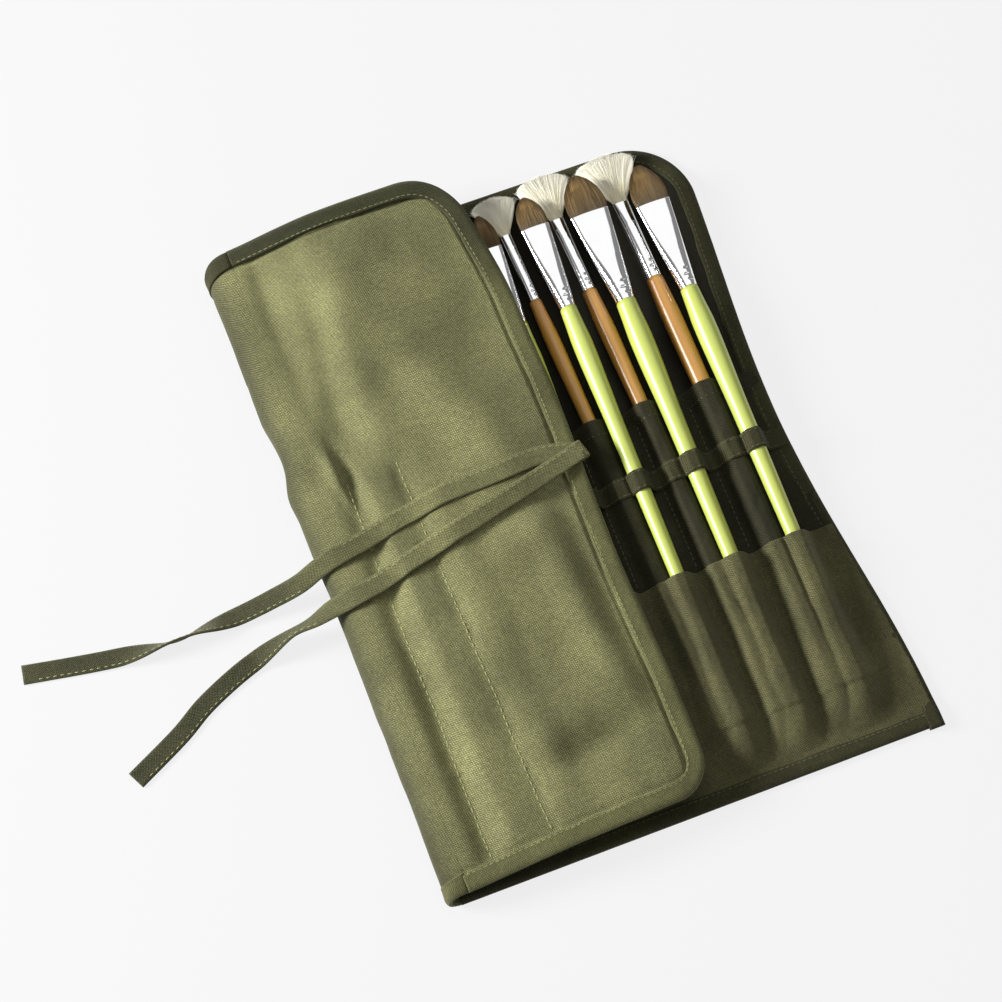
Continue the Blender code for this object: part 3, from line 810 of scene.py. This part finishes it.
def build_pockets():
    rows = (("rear", REAR_MOUTH, 190, rear_top, 0.35, "canvas_shaded", (0.33, 0.22), 0.070),
            ("front", FRONT_MOUTH, 120, front_top, 0.4, "canvas_pocket", (0.36, 0.12), 0.042))
    for row, mouth, stations, top, hem, material, flat, area in rows:
        y = np.linspace(SEAM - 3, mouth, stations)
        grid, uv = panel_grid(y, 260, 3.0, top)
        grid[..., 2] += mouth_roll(grid[..., 1], mouth, hem)
        panel = cloth(row + "_pocket_cloth", grid, PANEL, uv, material, "base")
        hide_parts(row + "_pocket_panel")


def build_strap():
    y = np.linspace(STRAP_LOW, STRAP_HIGH, 14)
    grid, uv = panel_grid(y, 300, 22.0, strap_top)
    crown = np.sin(np.pi * (y - STRAP_LOW) / (STRAP_HIGH - STRAP_LOW)) ** 0.6
    grid[..., 2] += 0.35 * crown[:, None]
    strap = cloth("holding_strap_cloth", grid, STRAP, uv, "binding_shaded", "base")
    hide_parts("holding_strap")


def line_on(top, x, y, lift=0.05):
    """A path on a surface given by top(x, y), with the surface's normals."""
    step = 0.4
    z = top(x, y)
    slope_x = (top(x + step, y) - top(x - step, y)) / (2 * step)
    slope_y = (top(x, y + step) - top(x, y - step)) / (2 * step)
    normal = unit(np.stack([-slope_x, -slope_y, np.ones_like(z)], axis=-1))
    return np.stack([x, y, z], axis=-1) + normal * lift, normal


def build_pocket_stitches():
    lines = []
    front_and_rear = (front_top, SEAM + 4, FRONT_MOUTH - 2), (rear_top, FRONT_MOUTH + 2, REAR_MOUTH - 5)
    for k in range(len(DIVIDERS)):
        for top, low, high in front_and_rear:
            y = np.linspace(low, high, 80)
            lines.append(line_on(top, divider_x(k, y), y))
    x = np.linspace(5, right_edge(FRONT_MOUTH) - 10, 400)
    lines.append(line_on(front_top, x, np.full_like(x, FRONT_MOUTH - 9.0)))
    lines.append(line_on(rear_top, x, np.full_like(x, REAR_MOUTH - 9.0)))
    stitches("pocket_stitches", lines, "thread_dark", "base", radius=0.3)
    lines = []
    x = x[x > 24]
    for y in (STRAP_HIGH - 1.4, STRAP_LOW + 1.4):
        lines.append(line_on(strap_top, x, np.full_like(x, y), 0.3))
    stitches("strap_stitches", lines, "thread_dark", "base", radius=0.25)


# ---------------------------------------------------------------- binding

def tape_section(width):
    """Outline of the folded tape across the edge: distance inward, height off the middle."""
    return np.array([(width, 0.55), (width - 0.25, 0.92), (width - 0.7, 1.14), (width - 1.7, 1.05),
                     (width * 0.6, 1.12), (width * 0.35, 1.24), (2.0, 1.18), (0.6, 0.85), (-0.2, 0.5),
                     (-0.45, 0.0), (-0.45, -0.05), (-0.2, -0.5), (0.6, -0.9), (2.0, -1.0),
                     (width * 0.45, -1.0), (width * 0.75, -1.0), (width - 0.5, -1.0), (width, -0.7)])


def tape(name, path, inward, up, half, body, material, width=TAPE_WIDTH):
    """Binding tape along path, which runs on the edge: inward points into the cloth.

    half is half the thickness of what the tape folds round.
    """
    section = tape_section(width)
    run = run_along(path)
    wobble = 1 + 0.05 * ripple(run, run * 0, 11, 10, 71)
    pucker = 0.14 * ripple(run, run * 0, 3.3, 10, 72)
    rings = []
    for k, point in enumerate(path):
        inner, height = section[:, 0] * wobble[k], section[:, 1] * half
        puff = pucker[k] * (section[:, 1] > 0) * hill(section[:, 0] - 4.5, 5.0)
        rings.append(point + inner[:, None] * inward[k] + (height + puff)[:, None] * up[k])
    return swept(name, np.array(rings), run, run_along(section), material, body)


def tape_stitches(path, inward, up, half, depth=TAPE_WIDTH - 1.9):
    """Where a tape's stitches run, depth in from its edge, and which way is up there."""
    return path + inward * depth + up * (half * 1.08 + 0.02), up


def edge_frames(path, up):
    """Inward directions for a path that runs with the cloth on its left."""
    along = unit(np.gradient(path, axis=0))
    return unit(np.cross(up, along))


def up_vectors(count):
    return np.tile([0.0, 0.0, 1.0], (count, 1))


def arc(centre_x, centre_y, radius, start, count):
    """Plan points of a quarter turn from start degrees, without the first."""
    a = np.linspace(math.radians(start), math.radians(start + 90), count)[1:]
    return np.stack([centre_x + radius * np.cos(a), centre_y + radius * np.sin(a)], axis=1)


def base_paths():
    """The base's bottom edge, and its side edge with the corner and the top edge."""
    bottom_x = np.linspace(-1, BASE_WIDTH - 1, 200)
    bottom = np.stack([bottom_x, 0 * bottom_x, 2.2 + 0 * bottom_x], axis=1)
    y = np.linspace(-1.5, HEIGHT - BASE_CORNER, 160)
    level = 1.9
    height = level + 1.0 * smooth((16 - y) / 10) + 0.3 * ripple(y, y, 40, 60, 81)
    side = np.stack([right_edge(y), y, height], axis=1)
    centre = right_edge(HEIGHT - BASE_CORNER) - BASE_CORNER
    x = np.linspace(centre, -1, 150)[1:]
    corner = arc(centre, HEIGHT - BASE_CORNER, BASE_CORNER, 0, 30)
    rest = np.vstack([corner, np.stack([x, HEIGHT + 0 * x], 1)])
    return bottom, np.vstack([side, np.column_stack([rest, np.full(len(rest), level)])])


def build_base_binding():
    bottom, side = base_paths()
    lines = []
    for name, node, path, half in (("bottom_tape", "base_binding_bottom", bottom, 2.1),
                                   ("side_tape", "base_binding_side", side, 1.75)):
        up = up_vectors(len(path))
        inward = edge_frames(path, up)
        tape_piece = tape(name, path, inward, up, half, "base", "binding_shaded")
        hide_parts(node)
        lines.append(tape_stitches(path[4:-4], inward[4:-4], up[4:-4], half))
    stitches("base_tape_stitches", lines, "thread_dark", "base", radius=0.27)


def bound_fold(name, y, inward_y, node, material):
    """Tape over the edge of the cloth where it turns round the fold; inward_y is 1 or -1."""
    turns = np.linspace(0.0, 1.0, 28)
    path = np.array([bend(np.array([t]), np.array([y]), COVER)[0] for t in turns])
    inward = np.tile([0.0, inward_y, 0.0], (len(path), 1))
    out = unit(np.cross(unit(np.gradient(path, axis=0)), inward))
    middle = np.array([FOLD_JOIN, y, (path[0, 2] + path[-1, 2]) / 2])
    out = out * np.sign(np.sum(out * (path - middle), axis=1).mean())
    piece = tape(name, path, inward, out, 1.7, None, material, FLAP_TAPE)
    flatten_fold(piece)
    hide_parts(node)


def flap_edge_path():
    """The flap's edge from the fold, along the bottom, up the side and back along the top."""
    x = np.linspace(3.5, FLAP_WIDTH - LOW_CORNER, 90)
    parts = [np.stack([x, 0 * x], 1)]
    parts.append(arc(FLAP_WIDTH - LOW_CORNER, LOW_CORNER, LOW_CORNER, -90, 22))
    y = np.linspace(LOW_CORNER, HEIGHT - FLAP_CORNER, 170)[1:]
    parts.append(np.stack([FLAP_WIDTH + 0 * y, y], 1))
    parts.append(arc(FLAP_WIDTH - FLAP_CORNER, HEIGHT - FLAP_CORNER, FLAP_CORNER, 0, 28))
    x = np.linspace(FLAP_WIDTH - FLAP_CORNER, 3.5, 90)[1:]
    parts.append(np.stack([x, HEIGHT + 0 * x], 1))
    flat = np.vstack(parts)
    return place_flap(flat[:, 0], flat[:, 1], flap_top(flat[:, 0], flat[:, 1]) - COVER)


def build_flap_binding():
    path = flap_edge_path()
    up = up_vectors(len(path))
    inward = edge_frames(path, up)
    half = 1.75
    piece = tape("flap_tape", path, inward, up, half, None, "flap_binding", FLAP_TAPE)
    flatten_flap(piece)
    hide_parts("flap_binding")
    line = tape_stitches(path, inward, up, half, FLAP_TAPE - 1.3)
    row = stitches("flap_tape_stitches", [line], "thread_olive", None, radius=0.22)
    flatten_flap(row)
    bound_fold("fold_tape_bottom", 0.3, 1, "spine_binding_bottom", "binding")
    bound_fold("fold_tape_top", HEIGHT - 0.3, -1, "spine_binding_top", "binding_shaded")


def build_flap_stitches():
    lines = []
    for d in FLAP_STITCHES:
        y = np.linspace(10, REAR_MOUTH + 3, 160)
        x = d + 0.5 * ripple(y, y * 0, 30, 10, 45)
        path, normal = line_on(flap_top, x, y, 0.0)
        path = place_flap(path[:, 0], path[:, 1], path[:, 2] + 0.12)
        lines.append((path, normal))
    row = stitches("flap_stitches", lines, "thread_olive", None, pitch=4.3, length=3.3, radius=0.38)
    flatten_flap(row)


# ---------------------------------------------------------------- ties

TIE_WIDTH = 11.0
TIE_THICK = 1.5
TIE_ROOT = (148.6, 209.5)
TIE_GAP = 2.2                 # between the two layers where the strap is folded
TURNED_OVER = (150.0, 168.0)  # along each tail: its seam shows on the other edge past here
# where each tail runs, from the root to its cut end
UPPER_TAIL = ((126, 214.5, 25.8), (101, 213, 26.4), (72, 212, 26.6), (41, 207, 26.2), (18, 202, 25.6),
              (0, 199, 24.6), (-11, 197, 20.6), (-24, 194, 14.5), (-42, 193, 7.5), (-60, 192, 2.6),
              (-80, 191, 1.4), (-100, 190, 1.2), (-135, 194, 1.2), (-181, 202, 1.2))
LOWER_TAIL = ((121, 202, 27.6), (82, 192, 27.2), (43, 183, 26.4), (18, 177, 25.6), (0, 174, 24.6),
              (-11, 173, 20.6), (-23, 171, 14.5), (-38, 170, 7.5), (-56, 166, 2.6), (-74, 160, 1.4),
              (-94, 151, 1.2), (-112, 140, 1.2), (-142, 125, 1.2))
# where each tail twists: how far along, over what length, and by how many degrees
UPPER_TWISTS = ((250, 38, 74), (150, 60, -14))
LOWER_TWISTS = ((190, 34, 52), (60, 60, -12))


def tie_section():
    """Outline of the strap, folded lengthwise and sewn, so it is thickest near its edges."""
    w, t = TIE_WIDTH / 2, TIE_THICK / 2
    return np.array([(-w, 0.1), (-w + 0.4, t * 0.8), (-w + 1.6, t), (-w * 0.4, t * 0.9), (0, t * 0.85),
                     (w * 0.4, t * 0.9), (w - 1.6, t * 1.05), (w - 0.4, t * 0.9), (w, 0.1), (w, -0.1),
                     (w - 0.4, -t * 0.9), (w - 1.6, -t), (w * 0.4, -t), (0, -t), (-w * 0.4, -t),
                     (-w + 1.6, -t), (-w + 0.4, -t * 0.8), (-w, -0.1)])


def tie_root(lift):
    return TIE_ROOT[0], TIE_ROOT[1], FLAP_TOP + 1.9 + TIE_THICK / 2 + lift


def flatten_tie(piece):
    """Give a piece of the tie a mesh of its own."""
    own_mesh(piece)


def rest_on_flap(path, gap):
    """Lift the part of a tail that crosses the flap clear of the cloth."""
    on_flap = smooth((path[:, 0] + 2.0) / 8.0) * (path[:, 0] < TIE_ROOT[0] - 2.0)
    cloth_height = np.maximum.reduce([flap_under(path[:, 0], path[:, 1] + d) for d in (-4.6, 0.0, 4.6)])
    need = np.maximum(cloth_height + TIE_THICK / 2 + gap - path[:, 2], 0.0) * on_flap
    kernel = np.hanning(21) / np.hanning(21).sum()
    lifted = np.convolve(np.pad(need, 10, mode="edge"), kernel, mode="valid")
    return path + np.stack([0 * need, 0 * need, np.maximum(need, lifted)], axis=1)


def build_tail(name, node, points, lift, twists, seed):
    """One tail of the strap, with its seam and its twists."""
    root = tie_root(lift)
    path, length = resample([root] + list(points), 240)
    path = rest_on_flap(path, 0.25 + lift)
    along = unit(np.gradient(path, axis=0))
    side = unit(np.stack([-along[:, 1], along[:, 0], 0 * along[:, 0]], axis=1))
    up = unit(np.cross(along, side))
    up = up * np.where(up[:, 2:] < 0, -1, 1)
    run = np.linspace(0, length, len(path))
    roll = 0.10 * ripple(run, run * 0, 45, 10, seed)
    for place, reach, degrees in twists:
        roll = roll + math.radians(degrees) * hill(run - place, reach)
    path = path + np.array([0.0, 0.0, 1.0]) * (np.abs(np.sin(roll)) * TIE_WIDTH * 0.46)[:, None]
    turned_side = side * np.cos(roll)[:, None] + up * np.sin(roll)[:, None]
    turned_up = up * np.cos(roll)[:, None] - side * np.sin(roll)[:, None]
    section = tie_section()
    rings = (path[:, None, :] + section[None, :, :1] * turned_side[:, None, :]
             + section[None, :, 1:] * turned_up[:, None, :])
    tail = swept(name, rings, run, run_along(section), "tie_canvas", "ties")
    flatten_tie(tail)
    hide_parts(node)
    rows = []
    for part, edge in ((run < TURNED_OVER[0], -1), (run > TURNED_OVER[1], 1)):
        seam = path + turned_side * (TIE_WIDTH / 2 - 1.7) * edge + turned_up * (TIE_THICK / 2 + 0.02)
        rows.append((seam[part][4:-3], turned_up[part][4:-3]))
    row = stitches(name + "_stitches", rows, "thread_olive", "ties", pitch=4.0, length=2.9, radius=0.26)
    flatten_tie(row)


def build_tie_loop():
    """The middle of the strap, where it doubles back on itself at the flap's edge."""
    low, high = np.array(tie_root(0.0)), np.array(tie_root(TIE_GAP))
    out = unit(np.array([23.0, 6.5, 0.0]))
    side = np.array([-out[1], out[0], 0.0])
    middle, reach = (low + high) / 2, TIE_GAP / 2
    angle = np.linspace(-np.pi / 2, np.pi / 2, 20)
    lead = np.stack([low - out * 3.0, low - out * 1.0])
    turn = middle + (out[None, :] * np.cos(angle)[:, None] * (reach + 0.8)
                     + np.array([[0, 0, 1.0]]) * np.sin(angle)[:, None] * reach)
    path = np.vstack([lead, turn, lead[::-1] + np.array([0, 0, TIE_GAP])])
    along = unit(np.gradient(path, axis=0))
    outward = unit(np.cross(np.tile(side, (len(path), 1)), along)) * -1
    section = tie_section()
    rings = path[:, None, :] + section[None, :, :1] * side + section[None, :, 1:] * outward[:, None, :]
    swept("tie_loop_cloth", rings, run_along(path), run_along(section), "tie_canvas", "ties")


# ---------------------------------------------------------------- brushes

HANDLE_SIDES = 40
FERRULE_SIDES = 72
CORE_SIDES = 24
BACK_HAIRS, FRONT_HAIRS = 2600, 2400
# the crimp's marks on a ferrule: how far along it, and at what angle round it
NICKS = ((0.07, 1.1), (0.13, 1.45), (0.20, 1.2))


def smooth_rings(rings, count):
    """Rings with evenly spaced stations and eased sizes between the CAD's own."""
    y = np.linspace(rings[0, 0], rings[-1, 0], count)
    kernel = np.hanning(7) / np.hanning(7).sum()
    out = [y]
    for k in range(1, 5):
        values = np.interp(y, rings[:, 0], rings[:, k])
        before = values[0] + np.arange(-3, 0) * (values[1] - values[0])
        after = values[-1] + np.arange(1, 4) * (values[-1] - values[-2])
        out.append(np.convolve(np.concatenate([before, values, after]), kernel, mode="valid"))
    return np.stack(out, axis=1)


def oval_points(rings, sides, scale):
    """Points round each ring (y, centre x and z, half width and height), sized by scale."""
    angle = np.linspace(0, 2 * np.pi, sides, endpoint=False)
    x = rings[:, 1, None] + rings[:, 3, None] * scale * np.cos(angle)
    z = rings[:, 2, None] + rings[:, 4, None] * scale * np.sin(angle)
    return np.stack([x, np.broadcast_to(rings[:, 0, None], x.shape), z], axis=-1)


def lathe(name, rings, sides, material, body, node, dent=1.0):
    around = np.arange(sides) / sides * 2 * np.pi * rings[:, 3].mean()
    points = oval_points(rings, sides, dent)
    piece = swept(name, points, rings[:, 0] - rings[0, 0], around, material, body)
    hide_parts(node)


def build_handle(name, back, body):
    """A lacquered handle with a rounded tail."""
    rings = smooth_rings(HANDLES[name], 150)
    tail = rings[0]
    nose = np.array([[tail[0] - d, tail[1], tail[2], tail[3] * s, tail[4] * s]
                     for d, s in ((1.6, 0.12), (1.45, 0.5), (1.0, 0.8), (0.5, 0.95))])
    rings = np.vstack([nose, rings])
    lathe("lacquered_handle_" + name, rings, HANDLE_SIDES, "amber_lacquer" if back else "lime_lacquer", body,
          "handle_" + name)


def build_ferrule(name, body):
    """A polished ferrule with three small nicks where it is crimped to the handle."""
    fine = smooth_rings(rings_of("ferrule_" + name), 160)
    t = np.linspace(0, 1, len(fine))[:, None]
    angle = np.linspace(0, 2 * np.pi, FERRULE_SIDES, endpoint=False)[None, :]
    dent = np.ones((len(fine), FERRULE_SIDES))
    for mark, centre in NICKS:
        near = hill(np.angle(np.exp(1j * (angle - centre))), 0.42)
        dent = dent - 0.11 * hill(t - mark, 0.018) * near - 0.012 * hill(t - mark, 0.014)
    dent = dent + 0.02 * smooth((t - 0.985) / 0.015) * smooth((1 - t) / 0.002 + 0.5)
    lathe("polished_ferrule_" + name, fine, FERRULE_SIDES, "ferrule", body, "ferrule_" + name, dent)


def strands(name, starts, controls, ends, radius, material, body, node, core):
    """A bundle of tapered hairs, each on its own curve, over a core that fills the bundle."""
    count, steps, sides = len(starts), 7, 3
    t = np.linspace(0, 1, steps)[None, :, None]
    centre = starts[:, None] * (1 - t) ** 2 + 2 * controls[:, None] * t * (1 - t) + ends[:, None] * t ** 2
    along = unit(np.gradient(centre, axis=1))
    side = unit(np.cross(along, np.array([0.0, 0.0, 1.0])))
    up = np.cross(side, along)
    width = radius * np.linspace(1, 0.3, steps)[None, :, None, None]
    angle = np.linspace(0, 2 * np.pi, sides, endpoint=False)
    rings = (centre[:, :, None] + width * (np.cos(angle)[None, None, :, None] * side[:, :, None]
                                           + np.sin(angle)[None, None, :, None] * up[:, :, None]))
    points = rings.reshape(-1, 3)
    h, j, i = np.meshgrid(np.arange(count), np.arange(steps - 1), np.arange(sides), indexing="ij")
    a = (h * steps * sides + j * sides + i).ravel()
    b = (h * steps * sides + j * sides + (i + 1) % sides).ravel()
    quads = np.stack([a, b, b + sides, a + sides], axis=1)
    own = np.repeat(rng.uniform(0.01, 1, count), steps * sides)
    v = np.tile(np.repeat(np.linspace(0, 1, steps), sides), count)
    core_points, core_quads, core_v = core
    quads = np.vstack([quads, core_quads + len(points)])
    uvs = np.vstack([np.stack([own, v], 1), np.stack([np.full(len(core_v), 0.5), core_v], 1)])
    piece = build(name, np.vstack([points, core_points]), quads, uvs, material, body)
    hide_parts(node)


def core_mesh(rings, scale):
    """Points and faces of the solid inside a head, and how far along it each point is, from 0 to 1."""
    points = oval_points(rings, CORE_SIDES, scale).reshape(-1, 3)
    along = np.repeat(np.linspace(0, 1, len(rings)), CORE_SIDES)
    return points, tube_quads(len(rings), CORE_SIDES), along


def build_head(name, back, body):
    """A head of hair: a fan of off-white bristle, or a rounded flat of soft brown hair."""
    rings = rings_of("hair_" + name)
    low, high = rings[0], rings[-1]
    length = high[0] - low[0]
    widest = rings[:, 3].max()
    count = BACK_HAIRS if back else FRONT_HAIRS
    angle = rng.uniform(0, 2 * np.pi, count)
    out = np.sqrt(rng.uniform(0.0 if back else 0.45, 1, count))
    across = out * np.cos(angle)
    start = np.stack([low[1] + low[3] * across, np.full(count, low[0] - 1.0),
                      low[2] + low[4] * out * np.sin(angle)], axis=1)
    if back:
        spread = np.clip(rng.uniform(-1.0, 1.0, count) * 0.55 + across * 0.5, -1.04, 1.04)
        reach = length * (1.04 - 0.20 * spread ** 2) + rng.normal(0, 0.6, count)
        end = np.stack([high[1] + widest * spread, low[0] + reach,
                        high[2] + 1.1 * np.sin(angle) * out + rng.normal(0, 0.3, count)], axis=1)
        start[:, 0] = low[1] + low[3] * spread * 0.95
        control = start + (end - start) * np.array([0.30, 0.55, 0.55])
    else:
        reach = length * (0.42 + 0.58 * np.sqrt(np.maximum(1 - np.abs(across) ** 2.6, 0.0)))
        reach = reach * (0.90 + 0.10 * rng.uniform(0, 1, count) ** 0.5) + 0.4
        narrow = np.interp(reach / length, [0.3, 0.6, 0.85, 1.0], [1.0, 0.90, 0.70, 0.46])
        end_z = high[2] + 0.5 * np.sin(angle) * out * low[4] * 0.4 + rng.normal(0, 0.12, count)
        end = np.stack([high[1] + widest * across * narrow, low[0] + reach, end_z], axis=1)
        control = (start + end) / 2
        control[:, 0] += widest * across * 0.16
        control[:, 2] += np.sin(angle) * out * low[4] * 0.55
    core = core_mesh(smooth_rings(rings, 20), 0.93 if back else 0.72)
    strands("head_" + name, start, control, end, 0.17 if back else 0.13,
            "white_bristle" if back else "brown_hair", body, "hair_" + name, core)


def build_brushes():
    for name in BRUSH_NAMES:
        back = name.startswith("back")
        body = "brush_" + name
        build_handle(name, back, body)
        build_ferrule(name, body)
        build_head(name, back, body)


# ---------------------------------------------------------------- camera, light and floor

CAMERA_TARGET = (100.0, 204.5, 0.0)
CAMERA_DISTANCE = 1503.0
CAMERA_AZIMUTH = -27.57       # degrees
CAMERA_ELEVATION = 72.40
CAMERA_ROLL = 6.85
CAMERA_LENS = 96.2
SENSOR_WIDTH = 36.0

# the lights and the floor are in metres
FLOOR_HALF = 3.0
FLOOR_GREY = 0.08
FLOOR_GLOW = 0.815            # the ground is lit paper, nearly white by itself
WORLD_STRENGTH = 0.22
KEY_PLACE, KEY_SIZE, KEY_POWER = (-1.60, 0.50, 0.80), 0.6, 66.0
OVERHEAD_PLACE, OVERHEAD_SIZE, OVERHEAD_POWER = (0.25, 0.45, 1.75), 2.4, 11.6


def build_camera():
    azimuth, elevation = math.radians(CAMERA_AZIMUTH), math.radians(CAMERA_ELEVATION)
    back = Vector((math.sin(azimuth) * math.cos(elevation), -math.cos(azimuth) * math.cos(elevation),
                   math.sin(elevation)))
    data = bpy.data.cameras.new("camera")
    data.lens = CAMERA_LENS
    data.sensor_width = SENSOR_WIDTH
    camera = bpy.data.objects.new("camera", data)
    bpy.context.collection.objects.link(camera)
    camera.location = Vector(to_world(CAMERA_TARGET)) + back * CAMERA_DISTANCE * MM
    turn = back.to_track_quat("Z", "Y").to_matrix()
    roll = Matrix.Rotation(math.radians(CAMERA_ROLL), 3, "Z")
    camera.rotation_euler = (turn @ roll).to_euler()
    bpy.context.scene.camera = camera


def build_light(name, location, size, power):
    """A round soft light that points at the middle of the case."""
    data = bpy.data.lights.new(name, "AREA")
    data.shape = "DISK"
    data.size = size
    data.energy = power
    light = bpy.data.objects.new(name, data)
    light.location = location
    light.rotation_euler = Vector(location).to_track_quat("Z", "Y").to_euler()
    bpy.context.collection.objects.link(light)


def build_studio():
    mesh = bpy.data.meshes.new("floor")
    corners = [(x * FLOOR_HALF, y * FLOOR_HALF, 0) for x, y in ((-1, -1), (1, -1), (1, 1), (-1, 1))]
    mesh.from_pydata(corners, [], [(0, 1, 2, 3)])
    paper = Nodes("floor_paper")
    paper.set(Base_Color=(FLOOR_GREY, FLOOR_GREY, FLOOR_GREY, 1), Roughness=1.0, Specular_IOR_Level=0.0,
              Emission_Color=(1, 1, 1, 1), Emission_Strength=FLOOR_GLOW)
    mesh.materials.append(paper.material)
    floor = bpy.data.objects.new("floor", mesh)
    bpy.context.collection.objects.link(floor)
    world = bpy.data.worlds.new("studio")
    world.use_nodes = True
    sky = world.node_tree.nodes["Background"]
    sky.inputs["Color"].default_value = (1, 1, 1, 1)
    sky.inputs["Strength"].default_value = WORLD_STRENGTH
    bpy.context.scene.world = world
    build_light("key", KEY_PLACE, KEY_SIZE, KEY_POWER)
    build_light("overhead", OVERHEAD_PLACE, OVERHEAD_SIZE, OVERHEAD_POWER)
    bpy.context.scene.view_settings.view_transform = "Standard"


def main():
    build_camera()
    build_studio()
    build_tail("tie_upper_cloth", "tie_tail_upper", UPPER_TAIL, 0.0, UPPER_TWISTS, 91)
    build_tail("tie_lower_cloth", "tie_tail_lower", LOWER_TAIL, TIE_GAP, LOWER_TWISTS, 92)
    build_tie_loop()
    build_base_cover()
    build_fold_cover()
    build_lining()
    build_flap_cover()
    build_flap_lining()
    build_flap_pocket()
    build_spine_lining()
    build_pockets()
    build_strap()
    build_pocket_stitches()
    build_base_binding()
    build_flap_binding()
    build_flap_stitches()
    build_brushes()


main()
